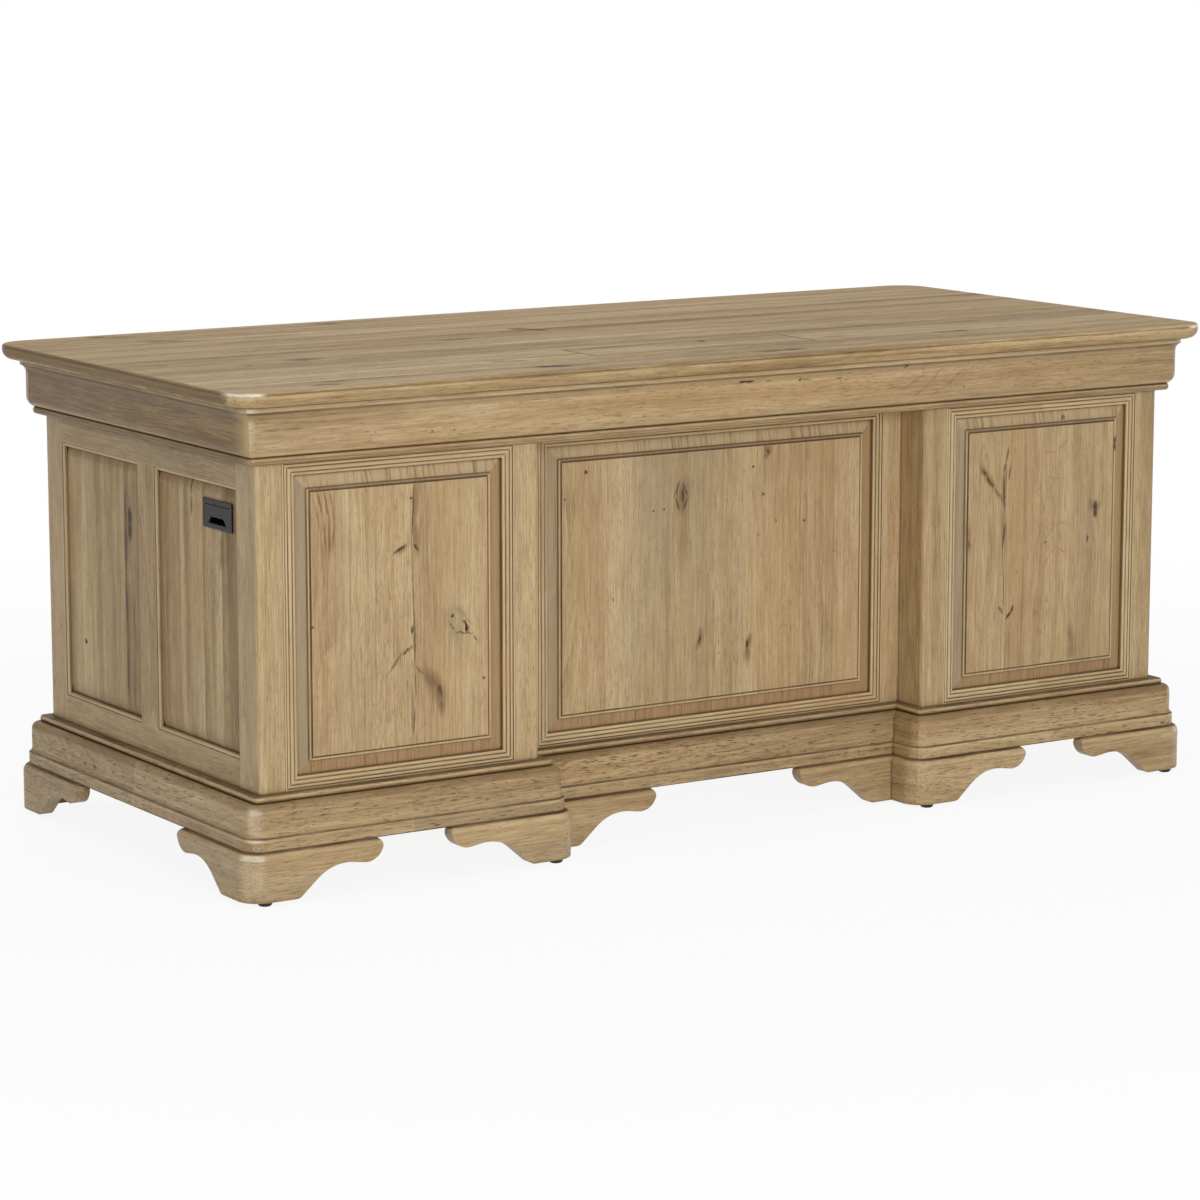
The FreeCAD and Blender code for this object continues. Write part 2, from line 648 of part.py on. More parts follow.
def make_ends():
    """Frame, beads and panels of the two ends. The left end has the hole for the outlet."""
    face = -BODY_X
    back = face + END_THICKNESS
    half_muntin = MUNTIN_WIDTH / 2
    frame = [
        block(face, back, -OPEN_Y, OPEN_Y, PLINTH_Z, END_RAIL_Z),
        block(face, back, -OPEN_Y, OPEN_Y, END_HEAD_Z, FRIEZE_Z),
        block(face, back, -half_muntin, half_muntin, END_RAIL_Z, END_HEAD_Z)]
    save("left_end_frame", frame)
    save("right_end_frame", mirrored(frame))

    ground = face + END_RECESS
    panels = []
    beads = []
    for y0, y1 in ((-OPEN_Y, -half_muntin), (half_muntin, OPEN_Y)):
        panel = block(ground, ground + END_PANEL_THICKNESS, y0, y1, END_RAIL_Z, END_HEAD_Z)
        for edge_z, way in ((END_RAIL_Z, 1), (END_HEAD_Z, -1)):
            border_z = edge_z + way * END_BEAD_WIDTH
            field_z = border_z + way * BEVEL_WIDTH
            cut_face = outline(
                lambda x, z: Vector(x, y0, z),
                (ground, edge_z),
                [(ground + BEVEL_DEPTH, edge_z), (ground + BEVEL_DEPTH, border_z), (ground, field_z)])
            panel = panel.cut(cut_face.extrude(Vector(0, y1 - y0, 0)))
        panels.append(panel)

        def place(y, z, rise):
            return Vector(ground - rise, y, z)

        beads += frame_strips(end_bead_profile(), y0, y1, END_RAIL_Z, END_HEAD_Z, place)
    save("right_end_panels", mirrored(panels))
    save("left_end_beads", beads)
    save("right_end_beads", mirrored(beads))
    y0, y1, z0, z1 = outlet_opening()
    room = SLEEVE_WALL + SLEEVE_CLEARANCE
    hole = block(ground, ground + END_PANEL_THICKNESS, y0 - room, y1 + room, z0 - room, z1 + room)
    save("left_end_panels", [panels[0].cut(hole), panels[1]])


def make_outlet():
    """Cable outlet: a bezel with a sleeve through the panel, and a flap on two pins."""
    ground = -BODY_X + END_RECESS
    face = ground - BEZEL_THICKNESS
    y0, y1, z0, z1 = outlet_place()
    a0, a1, b0, b1 = outlet_opening()
    plate = block(face, ground, y0, y1, z0, z1)
    sleeve = block(ground, ground + SLEEVE_DEPTH, a0 - SLEEVE_WALL, a1 + SLEEVE_WALL,
                   b0 - SLEEVE_WALL, b1 + SLEEVE_WALL)
    bezel = plate.fuse(sleeve).cut(block(face, ground + SLEEVE_DEPTH, a0, a1, b0, b1))
    middle = face + BEZEL_THICKNESS / 2
    barrel = FLAP_THICKNESS / 2
    axis_z = b1 - FLAP_GAP - barrel
    flap = block(middle - barrel, middle + barrel, a0 + FLAP_GAP, a1 - FLAP_GAP, b0 + FLAP_GAP, axis_z)
    flap_start = Vector(middle, a0 + FLAP_GAP, axis_z)
    flap_width = a1 - a0 - 2 * FLAP_GAP
    roll = Part.makeCylinder(barrel, flap_width, flap_start, NORTH)
    pin_start = flap_start - NORTH * FLAP_PIN_LENGTH
    pin_length = flap_width + 2 * FLAP_PIN_LENGTH
    pin = Part.makeCylinder(FLAP_PIN_RADIUS, pin_length, pin_start, NORTH)
    center = (a0 + a1) / 2
    sill = b0 + FLAP_GAP
    notch = outline(
        lambda y, z: Vector(middle - barrel, center + y, sill + z),
        (-NOTCH_WIDTH / 2, 0),
        [(NOTCH_WIDTH / 2, 0), (NOTCH_TOP_WIDTH / 2, NOTCH_HEIGHT), (-NOTCH_TOP_WIDTH / 2, NOTCH_HEIGHT)])
    flap = joined([flap, roll, pin]).cut(notch.extrude(Vector(FLAP_THICKNESS, 0, 0)))
    hole_start = pin_start - NORTH * FLAP_GAP
    hole = Part.makeCylinder(FLAP_PIN_RADIUS + PIN_CLEARANCE, pin_length + 2 * FLAP_GAP, hole_start, NORTH)
    save("outlet_bezel", [bezel.cut(hole)])
    save("outlet_flap", [flap])


def left_corners():
    """Corner axes of the left pedestal in plan, by name."""
    outer_x = -BODY_X - CORNER_AXIS
    inner_x = -KNEE_X + CORNER_AXIS
    edge_y = BODY_Y + CORNER_AXIS
    return {
        "outer_rear": Vector(outer_x, edge_y, 0),
        "outer_front": Vector(outer_x, -edge_y, 0),
        "inner_front": Vector(inner_x, -edge_y, 0),
        "inner_rear": Vector(inner_x, edge_y, 0),
        "recess": Vector(inner_x, -CENTER_Y - CORNER_AXIS, 0)}


def make_plinth():
    """Plinth round both pedestals and along the recessed center."""
    at = left_corners()
    profile = plinth_profile()
    knee = Vector(at["recess"].x, -STILE_BACK_Y, 0)
    lengths = [
        (at["outer_rear"], at["outer_front"], ROUND, ROUND),
        (at["outer_front"], at["inner_front"], ROUND, ROUND),
        (at["inner_front"], at["recess"], ROUND, HOLLOW),
        (knee, at["inner_rear"], SQUARE, ROUND),
        (at["inner_rear"], at["outer_rear"], ROUND, ROUND)]
    left = [run(profile, CORNER_AXIS, a, b, start, end) for a, b, start, end in lengths]
    save("left_plinth", left)
    save("right_plinth", mirrored(left))
    across = Vector(-at["recess"].x, at["recess"].y, 0)
    save("center_plinth", [run(profile, CORNER_AXIS, at["recess"], across, HOLLOW, HOLLOW)])


def make_feet():
    """Scrolled bracket feet with their corner blocks and glides."""
    at = left_corners()
    west = EAST * -1
    south = NORTH * -1
    arms = {
        "outer_front": [(EAST, south), (NORTH, west)],
        "inner_front": [(west, south)],
        "outer_rear": [(EAST, NORTH), (south, west)],
        "inner_rear": [(west, NORTH), (south, EAST)]}
    blocks = []
    glides = []
    for name, wings in arms.items():
        corner = at[name]
        boards = [foot_wing(corner, along, outward, ROUND) for along, outward in wings]
        if name == "inner_front":
            boards.append(run(foot_profile(), 0, corner, at["recess"], ROUND, HOLLOW))
            boards.append(foot_wing(at["recess"], EAST, south, HOLLOW))
        save("left_" + name + "_foot", boards)
        save("right_" + name + "_foot", mirrored(boards))
        along, outward = wings[0]
        face = out(FOOT_REACH)
        near = corner - (along - outward) * (face - FOOT_THICKNESS)
        far = near + (along - outward) * BLOCK_SIZE
        x0, x1 = sorted((near.x, far.x))
        y0, y1 = sorted((near.y, far.y))
        glue_block = block(x0, x1, y0, y1, FOOT_Z + BLOCK_LIFT, PLINTH_Z)
        for board in boards:
            glue_block = glue_block.cut(board)
        blocks.append(glue_block)
        spot = corner + along * (GLIDE_FROM_CORNER - face) + outward * (face - GLIDE_INSET)
        glides.append(glide(spot))
    save("foot_blocks", both(blocks))
    save("glides", both(glides))


def glide(spot):
    """Glide under a foot, flat where it stands and rounded up to its rim."""
    flat = (GLIDE_FLAT, 0)
    rim = (GLIDE_RADIUS, FOOT_Z - GLIDE_RIM)
    section = outline(
        lambda r, z: spot + Vector(r, 0, z),
        (0, 0),
        [flat, (upright_arc(rim, flat), rim), (GLIDE_RADIUS, FOOT_Z), (0, FOOT_Z)])
    return section.revolve(spot, UP, FULL_TURN)


def drawer_box(x0, x1, y_front, z0, height):
    """Sides, back and bottom of a drawer, open at the top."""
    y_back = y_front - BOX_DEPTH
    inner0 = x0 + SIDE_THICKNESS
    inner1 = x1 - SIDE_THICKNESS
    bottom_z = z0 + BOX_BOTTOM_LIFT
    bottom_top = bottom_z + BOX_BOTTOM_THICKNESS
    return [
        block(x0, inner0, y_back, y_front, z0, z0 + height),
        block(inner1, x1, y_back, y_front, z0, z0 + height),
        block(inner0, inner1, y_back, y_back + SIDE_THICKNESS, bottom_top, z0 + height),
        block(inner0, inner1, y_back, y_front, bottom_z, bottom_top)]


def make_frieze_drawers():
    """Three drawers behind fronts that carry the frieze moulding round the user side."""
    axis_x = BODY_X + CORNER_AXIS
    axis_y = BODY_Y + CORNER_AXIS
    front_y = BODY_Y + FRIEZE_FRONT_GAP
    back = CORNER_AXIS - FRIEZE_FRONT_GAP
    profile = frieze_profile(TOP_Z - FRIEZE_FRONT_GAP)
    split = KNEE_X - WALL_THICKNESS / 2
    half_gap = FRIEZE_SPLIT_GAP / 2
    side = run(profile, back, Vector(-split - half_gap, axis_y, 0), Vector(-axis_x, axis_y, 0), SQUARE, WRAP)
    stub = run(profile, 0, Vector(-axis_x, axis_y, 0), Vector(-axis_x, front_y, 0), SQUARE, SQUARE)
    left_front = joined([side, stub])
    half_center = split - half_gap
    center_front = run(profile, back, Vector(half_center, axis_y, 0), Vector(-half_center, axis_y, 0),
                       SQUARE, SQUARE)
    box_z = FLOOR_Z + SLIDE_GAP
    box_height = TOP_Z - FRIEZE_BOX_DROP - box_z
    outer = BODY_X - FRIEZE_BACK - DRAWER_GAP
    left_box = drawer_box(-outer, -KNEE_X - DRAWER_GAP, front_y, box_z, box_height)
    inner = KNEE_X - WALL_THICKNESS - DRAWER_GAP
    save("left_frieze_drawer_front", [left_front])
    save("left_frieze_drawer_box", left_box)
    save("right_frieze_drawer_front", mirrored([left_front]))
    save("right_frieze_drawer_box", mirrored(left_box))
    save("center_frieze_drawer_front", [center_front])
    save("center_frieze_drawer_box", drawer_box(-inner, inner, front_y, box_z, box_height))


def dome_drop(radius, height):
    """Fall from the crown of a round dome to the circle half way out to its rim."""
    sphere = (radius ** 2 + height ** 2) / (2 * height)
    return sphere - math.sqrt(sphere ** 2 - (radius / 2) ** 2)


def knob(spot):
    """Turned knob standing out towards +Y."""
    rim = (KNOB_RADIUS, KNOB_LENGTH - KNOB_DOME)
    middle = (KNOB_RADIUS / 2, KNOB_LENGTH - dome_drop(KNOB_RADIUS, KNOB_DOME))
    section = outline(
        lambda r, y: spot + Vector(r, y, 0),
        (0, 0),
        [(KNOB_BASE, 0),
         ((KNOB_NECK, KNOB_NECK_LENGTH / 2), (KNOB_NECK, KNOB_NECK_LENGTH)),
         rim,
         (middle, (0, KNOB_LENGTH))])
    return section.revolve(spot, NORTH, FULL_TURN)


def make_pedestal_drawers():
    """An upper drawer and a file drawer in each pedestal, on wooden runners."""
    front_x0 = -OPEN_OUTER_X + DRAWER_GAP
    front_x1 = -OPEN_INNER_X - DRAWER_GAP
    front_y = BODY_Y - FRONT_THICKNESS
    middle_x = (front_x0 + front_x1) / 2
    file_z = file_front_level()
    file_height = mid_rail_level() - DRAWER_GAP - file_z
    drawers = (
        ("upper", upper_front_level(), UPPER_FRONT_HEIGHT, UPPER_BOX_DROP, OPEN_Y),
        ("file", file_z, file_height, FILE_BOX_DROP, BODY_Y - RAIL_THICKNESS))
    runners = []
    for name, z0, height, box_drop, runner_rear in drawers:
        runner_z = z0 + SLIDE_GAP
        box_z = runner_z + SLIDE_GAP
        front = block(front_x0, front_x1, front_y, BODY_Y, z0, z0 + height)
        box = drawer_box(front_x0, front_x1, front_y, box_z, height - box_drop)
        pull = knob(Vector(middle_x, BODY_Y, z0 + height / 2))
        for side, shapes in (("left_", lambda s: s), ("right_", mirrored)):
            save(side + name + "_drawer_front", shapes([front]))
            save(side + name + "_drawer_box", shapes(box))
            save(side + name + "_drawer_knob", shapes([pull]))
        runners.append(block(-OPEN_OUTER_X, -OPEN_OUTER_X + RUNNER_WIDTH,
                             -OPEN_Y - RUNNER_POST_LAP, runner_rear,
                             runner_z - RUNNER_HEIGHT, runner_z))
        runners.append(block(front_x1 - RUNNER_WIDTH, -KNEE_X - WALL_THICKNESS, -STILE_BACK_Y, OPEN_Y,
                             runner_z - RUNNER_HEIGHT, runner_z))
    save("drawer_runners", both(runners))


os.makedirs("parts", exist_ok=True)
make_top()
make_frieze()
make_carcase()
make_visitor_side()
make_ends()
make_outlet()
make_plinth()
make_feet()
make_frieze_drawers()
make_pedestal_drawers()
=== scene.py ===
import json
import math

import bpy
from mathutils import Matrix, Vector

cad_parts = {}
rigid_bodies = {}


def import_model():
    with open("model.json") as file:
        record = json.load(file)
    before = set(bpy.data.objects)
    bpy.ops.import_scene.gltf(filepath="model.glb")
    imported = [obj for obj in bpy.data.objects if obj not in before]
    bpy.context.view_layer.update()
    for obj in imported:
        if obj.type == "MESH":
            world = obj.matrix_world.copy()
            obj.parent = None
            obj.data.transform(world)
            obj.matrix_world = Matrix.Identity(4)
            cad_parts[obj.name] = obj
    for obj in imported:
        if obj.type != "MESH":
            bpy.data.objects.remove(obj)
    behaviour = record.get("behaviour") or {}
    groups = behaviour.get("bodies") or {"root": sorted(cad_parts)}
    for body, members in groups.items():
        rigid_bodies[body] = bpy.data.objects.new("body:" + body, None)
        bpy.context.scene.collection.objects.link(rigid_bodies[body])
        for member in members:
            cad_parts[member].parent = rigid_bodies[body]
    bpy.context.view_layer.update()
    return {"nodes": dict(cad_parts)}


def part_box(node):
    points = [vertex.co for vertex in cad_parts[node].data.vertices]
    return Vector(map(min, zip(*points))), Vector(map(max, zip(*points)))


# Double-pedestal writing desk in satin knotty oak. Metres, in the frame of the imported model:
# +Z up, X along the desk, the panelled visitor side at -Y, the drawers at +Y.

for leftover in list(bpy.data.objects):
    bpy.data.objects.remove(leftover)
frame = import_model()
nodes = frame["nodes"]

# Camera, fitted to the photograph's outline of the desk: metres, degrees, and millimetres for the lens
CAMERA_PLACE = (-3.592, -5.542, 1.461)
CAMERA_PITCH = 9.806
CAMERA_YAW = -32.750
CAMERA_LENS = 121.9
CAMERA_FAR = 200.0

# Lamps: name, place, the point that it faces, its two sides, and its power in watts
LAMPS = (
    ("key", (-1.7, -6.2, 1.9), (-0.1, 0.0, 0.4), (3.6, 2.2), 175.0),
    ("overhead", (-0.2, -0.5, 3.8), (0.0, 0.0, 0.6), (4.6, 2.8), 42.0),
    ("strip", (-5.2, -3.2, 1.0), (-0.9, -0.4, 0.4), (0.35, 1.8), 16.0),
    ("rear", (0.8, 3.6, 3.7), (0.0, 0.2, 0.4), (3.2, 2.0), 34.0),
)

# Surroundings: light of the sky, and the floor's half side, its colour, the share of plain white that
# is seen close to the desk, and the distances over which that share rises to 1
SKY = 0.42
FLOOR_REACH = 90.0
FLOOR_COLOR = (0.86, 0.86, 0.85, 1.0)
FLOOR_WHITE = 0.9
FLOOR_RISE = (1.2, 3.0)

# Colours, as sRGB values
OAK_DEEP = (126, 98, 62)
OAK_MID = (180, 153, 112)
OAK_PALE = (215, 192, 151)
OAK_GREY = (150, 136, 114)
OAK_WARM = (184, 146, 97)
# Glaze and wash also stand for painted shade in hollows and between parts.
GLAZE_AND_SHADE = (84, 63, 41)
WASH_AND_SHADE = (122, 95, 62)
PORE = (102, 77, 48)
# The pale edge colour is wear on arrises and painted highlight on crests.
PALE_WEAR_AND_HIGHLIGHT = (214, 190, 148)
# This white is painted glints on the round corners.
PAINTED_GLINT = (240, 231, 214)
# Painted shade on the edge of the top's ends.
TOP_END_SHADE = (112, 92, 68)
# Bevel colours: painted light and shade by side of a raised field, over some difference in tone.
BEVEL_SHADED_BROWN = (162, 127, 88)
BEVEL_LIT_PALE = (190, 166, 130)
BEVEL_LIT_GREY = (158, 140, 115)
BEVEL_FIBRE = (126, 94, 60)
PLASTIC_BLACK = (19, 19, 20)
PLASTIC_HAZE = (34, 34, 36)
PLASTIC_EDGE = (96, 97, 100)
STEEL_DEEP = (150, 150, 152)
STEEL_PALE = (196, 196, 198)

# Inks of the marks in the wood, and the distances from a mark's middle, 1 at its edge, where each ink
# begins and where it is full
DARK = (56, 40, 28)
BROWN = (124, 94, 61)
RUST = (172, 124, 74)
GREY = (140, 123, 100)
MARK_EDGE = {DARK: (1.25, 0.45), BROWN: (1.7, 0.1), RUST: (1.25, 0.45), GREY: (1.7, 0.1)}

# Marks: length of a tip in half widths, widening of dots, strength of every ink, and how far ragged
# grain and fibres fray an edge
SPINDLE_TIP = 0.9
DOT = 1.35
INK = 1.2
FRAY = (0.010, 0.0036, 0.0)
FIBRE_FRAY = 1.3

# Sizes of the grain, as noise per metre along, across and into the wood
PORE_GRAIN = (95.0, 1300.0, 1300.0)
DASH_GRAIN = (58.0, 520.0, 520.0)
FIBRE_GRAIN = (15.0, 360.0, 360.0)
STREAK_GRAIN = (1.6, 52.0, 52.0)
BAND_GRAIN = (0.7, 17.0, 17.0)
CLOUD_GRAIN = (2.4, 9.0, 9.0)
MOTTLE_GRAIN = (17.0, 42.0, 42.0)
HUE_GRAIN = (0.9, 11.0, 11.0)
WARP_GRAIN = (2.6, 13.0, 13.0)
RAGGED_GRAIN = (70.0, 300.0, 300.0)
SPECK_GRAIN = (15.0, 30.0, 11.0)
MM = 0.001

# Boards: steps between the random numbers of pieces, seeds and years, how far boards lie apart in the
# noise, and how far the grain wanders
PIECE_STEP = 1.713
SEED_STEP = 0.371
YEAR_STEP = 0.617
YEAR_SEED = 0.1
BOARD_SHIFT = (7.0, 3.0, 3.0)
HUE_SHIFT = (3.1, 1.7, 2.3)
WARP_REACH = (0.0, 0.014, 0.014)

# Year rings: width of a ring, waves of the pith and its place in the noise, its depth under the face
# with the spread between boards and the rise along a board, its spread across, and the rings' warp
RING_SPACING = 0.0044
PITH_WAVE = 1.15
PITH_APART = 9.0
PITH_ASIDE = 5.0
PITH_DEPTH = 0.03
PITH_SPREAD = 0.05
PITH_RISE = 0.16
PITH_ACROSS = 0.09
RING_WARP = 0.016
RING_FRAY = 0.0012

# Tone of the oak, from 0 for deep to 1 for pale: its middle, and how far the layers move it
TONE = 0.53
STREAK_SHARE = 0.62
FIBRE_SHARE = 0.9
CLOUD_SHARE = 0.3
EARLY_SHARE = 0.06
YEAR_SHARE = 0.1

# Tints over the tone: the range of noise in which each comes up, and its strength
PORE_RANGE = (0.08, 0.2)
PORE_EARLY = 0.3
PORE_LATE = 0.12
DASH_RANGE = (0.09, 0.2)
DASH_EARLY = 0.05
DASH_CLOUD = 0.25
DASH_SHARE = 0.34
HUE_RANGE = (0.02, 0.34)
HUE_SPREAD = 0.2
GREY_SHARE = 0.4
WARM_SHARE = 0.5
SPECK_LUCK = 0.6
SPECK_SPAN = 0.5
SPECK_SIZE = 0.05
SPECK_EDGE = (-0.008, 0.02)
SPECK_SHARE = 0.5

# Glaze and painted shade in corners, and wear on arrises: reach in metres, rays, and the range and
# strength of each
GLAZE_SHADE_REACH = 0.0055
GLAZE_SHADE_RAYS = 6
GLAZE_SHADE_RANGE = (0.24, 0.62)
GLAZE_SHADE_SHARE = 0.85
WASH_SHADE_RANGE = (0.1, 0.45)
WASH_SHADE_SHARE = 0.5
EDGE_REACH = 0.0022
EDGE_RAYS = 4
EDGE_RANGE = (0.12, 0.5)

# Surface of the oak: roughness with what streaks, dashes and corners add, and the relief of the pores
ROUGHNESS = 0.33
ROUGH_STREAK = 0.2
ROUGH_DASH = 0.12
ROUGH_CORNER = 0.2
RELIEF_STRENGTH = 0.55
RELIEF_DEPTH = 0.0005
RELIEF_SHARE = 0.5
SOFT_EDGE = 0.0011
SOFT_RAYS = 4

# Breaks in the glaze, painted shade, wear and painted highlights of mouldings, and the reach of the
# painted glints round the desk's corner axes
BREAK_GRAIN = (11.0, 11.0, 11.0)
BREAK_SHARE = 1.7
BREAK_MIDDLE = 0.88
CORNER_GLINT_REACH = (0.001, 0.017)

# Raised panels: distance in from a panel's edge to the foot of the bead, the length of the pieces
# that its level bevels are toned in, and the depth of its moulded face
BEVEL_INNER = 0.041
BEVEL_PIECE = 0.17
PANEL_FACE = 0.014

# Bevels: step between the random numbers of their pieces, ticks and threads as noise per metre, slant
# of the ticks, the make-up of the wash with its range, and the shadow of the upper bead in millimetres
BEVEL_STEP = 0.31
TICK_GRAIN = (330.0, 1.0, 12.0)
TICK_SLANT = 24.0
THREAD_GRAIN = (520.0, 1.0, 9.0)
TICK_SHARE = 1.5
BEVEL_FIBRE_SHARE = 0.4
BEVEL_PIECE_SHARE = 0.2
BEVEL_WASH = (0.04, 0.5)
BEVEL_THREAD = (0.0, 0.3)
BEAD_SHADOW = (41.5, 47.5, 1.0)
BEAD_SHADOW_SHARE = 0.55

# Sizes that no box of the frame gives: rim of the top's edge, corner axes outside the posts, half a
# muntin, the side of a drawer box, and fades behind the front of the frieze and of the top
TOP_RIM = 0.004
CORNER_AXIS = 0.008
MUNTIN_HALF = 0.0275
DRAWER_SIDE = 0.012
FRIEZE_FADE = (0.0135, 0.0615)
FRIEZE_FADE_SHARE = 0.8
TOP_FADE = (0.004, 0.059)
TOP_FADE_SHARE = 0.62
LID_JOINT = (0.002, 0.005)
LID_JOINT_SHARE = 0.6

# Joints between staves, as places across the grain. Those of the panels have a step in tone beside them.
LEFT_SEAMS = ((-0.718, 0.2), (-0.660, -0.04), (-0.588, -0.02), (-0.533, 0.0))
CENTER_SEAMS = ((-0.205, 0.06), (-0.075, -0.02), (0.055, 0.0), (0.165, -0.04), (0.235, 0.05))
RIGHT_SEAMS = ((0.480, 0.05), (0.537, -0.06), (0.595, 0.02), (0.672, 0.04))
TOP_SEAMS = (-0.33, -0.24, -0.14, -0.06, 0.04, 0.13, 0.21, 0.31)
LEFT_END_SEAMS = (-0.235, -0.175, -0.10, 0.0, 0.09, 0.15, 0.205)
RIGHT_END_SEAMS = (-0.22, -0.16, -0.10, 0.0, 0.08, 0.16, 0.22)

# Lines along mouldings, with glaze and painted shade in the hollows and wear and painted highlights on
# the crests: ink, start, stop, soft margin and strength. Places are millimetres in from a frame's edge
# for panels and ends, and millimetres up from the lower edge of the piece for the others.
MOULDING_LINES = (
    (GLAZE_AND_SHADE, -2, 0.2, 0.6, 0.75), (PALE_WEAR_AND_HIGHLIGHT, 0.9, 2.3, 0.6, 0.5), (GLAZE_AND_SHADE, 2.9, 3.7, 0.7, 0.85),
    (PALE_WEAR_AND_HIGHLIGHT, 5.2, 6.8, 1.2, 0.45), (GLAZE_AND_SHADE, 8.2, 9.0, 0.8, 0.85), (PALE_WEAR_AND_HIGHLIGHT, 11.2, 13.2, 1.4, 0.45),
    (GLAZE_AND_SHADE, 15.2, 16.0, 0.8, 0.85), (PALE_WEAR_AND_HIGHLIGHT, 18.2, 20.0, 1.0, 0.5), (GLAZE_AND_SHADE, 20.7, 23, 0.5, 0.6),
)
FIELD_LINES = (
    (GLAZE_AND_SHADE, 20, 21.6, 0.8, 0.7), (GLAZE_AND_SHADE, 40.8, 41.8, 0.7, 0.6), (PALE_WEAR_AND_HIGHLIGHT, 42.6, 44.4, 0.7, 0.3),
    (GLAZE_AND_SHADE, 45.7, 47.4, 0.7, 0.9),
)
END_BEAD_LINES = (
    (GLAZE_AND_SHADE, 0.5, 1.6, 0.6, 0.8), (PALE_WEAR_AND_HIGHLIGHT, 2.6, 4.4, 0.9, 0.5), (GLAZE_AND_SHADE, 6.4, 9, 0.6, 0.7),
)
END_FIELD_LINES = (
    (WASH_AND_SHADE, -9, 9, 24, 0.42),
)
FRIEZE_LINES = (
    (GLAZE_AND_SHADE, 87, 90, 0.9, 0.9), (PALE_WEAR_AND_HIGHLIGHT, 80.3, 85.6, 0.8, 0.42), (GLAZE_AND_SHADE, 76.4, 78.8, 2.0, 0.55),
    (WASH_AND_SHADE, 69, 77, 4, 0.4), (PALE_WEAR_AND_HIGHLIGHT, 14.3, 16.8, 1.4, 0.4), (GLAZE_AND_SHADE, 10.8, 12.6, 0.8, 0.6),
    (PALE_WEAR_AND_HIGHLIGHT, 7.4, 9.6, 0.8, 0.35), (WASH_AND_SHADE, 3.6, 5.4, 1, 0.55), (GLAZE_AND_SHADE, -2, 0.7, 0.7, 0.7),
)
PLINTH_LINES = (
    (GLAZE_AND_SHADE, -1.5, 1.1, 0.9, 0.9), (PALE_WEAR_AND_HIGHLIGHT, 15, 18.1, 1.2, 0.3), (GLAZE_AND_SHADE, 19.3, 20.7, 1.3, 0.7),
    (PALE_WEAR_AND_HIGHLIGHT, 27, 30, 1.6, 0.22), (WASH_AND_SHADE, 61.5, 67.5, 4, 0.5), (WASH_AND_SHADE, 71.5, 73.1, 0.9, 0.55),
    (PALE_WEAR_AND_HIGHLIGHT, 74.5, 77.1, 0.9, 0.25), (GLAZE_AND_SHADE, 77.8, 80.5, 0.6, 0.75),
)
FOOT_LINES = (
    (GLAZE_AND_SHADE, 73, 76, 1.0, 0.9), (PALE_WEAR_AND_HIGHLIGHT, 66.5, 70, 2.0, 0.25), (WASH_AND_SHADE, -6, 2, 5, 0.45),
)
TOP_LINES = (
    (GLAZE_AND_SHADE, -2, 1, 1.2, 0.85), (PALE_WEAR_AND_HIGHLIGHT, 14, 17.5, 1.2, 0.3), (GLAZE_AND_SHADE, 19.6, 21, 0.9, 0.5),
)

# Painted glints, white highlights on the round corners, in the same form
FRIEZE_CORNER_GLINTS = (
    (PAINTED_GLINT, 80.5, 86, 1.5, 0.5), (PAINTED_GLINT, 14, 18, 3, 0.55), (PAINTED_GLINT, 30, 62, 14, 0.3),
)
PLINTH_CORNER_GLINTS = (
    (PAINTED_GLINT, 56.5, 61.5, 4, 0.65), (PAINTED_GLINT, 15.5, 18.3, 1.5, 0.6), (PAINTED_GLINT, 29.5, 51.5, 8, 0.28),
)
FOOT_CORNER_GLINTS = (
    (PAINTED_GLINT, 65, 70, 3, 0.65), (PAINTED_GLINT, 24, 54, 20, 0.18),
)
TOP_CORNER_GLINTS = (
    (PAINTED_GLINT, 19.2, 22.2, 1.4, 0.8),
)

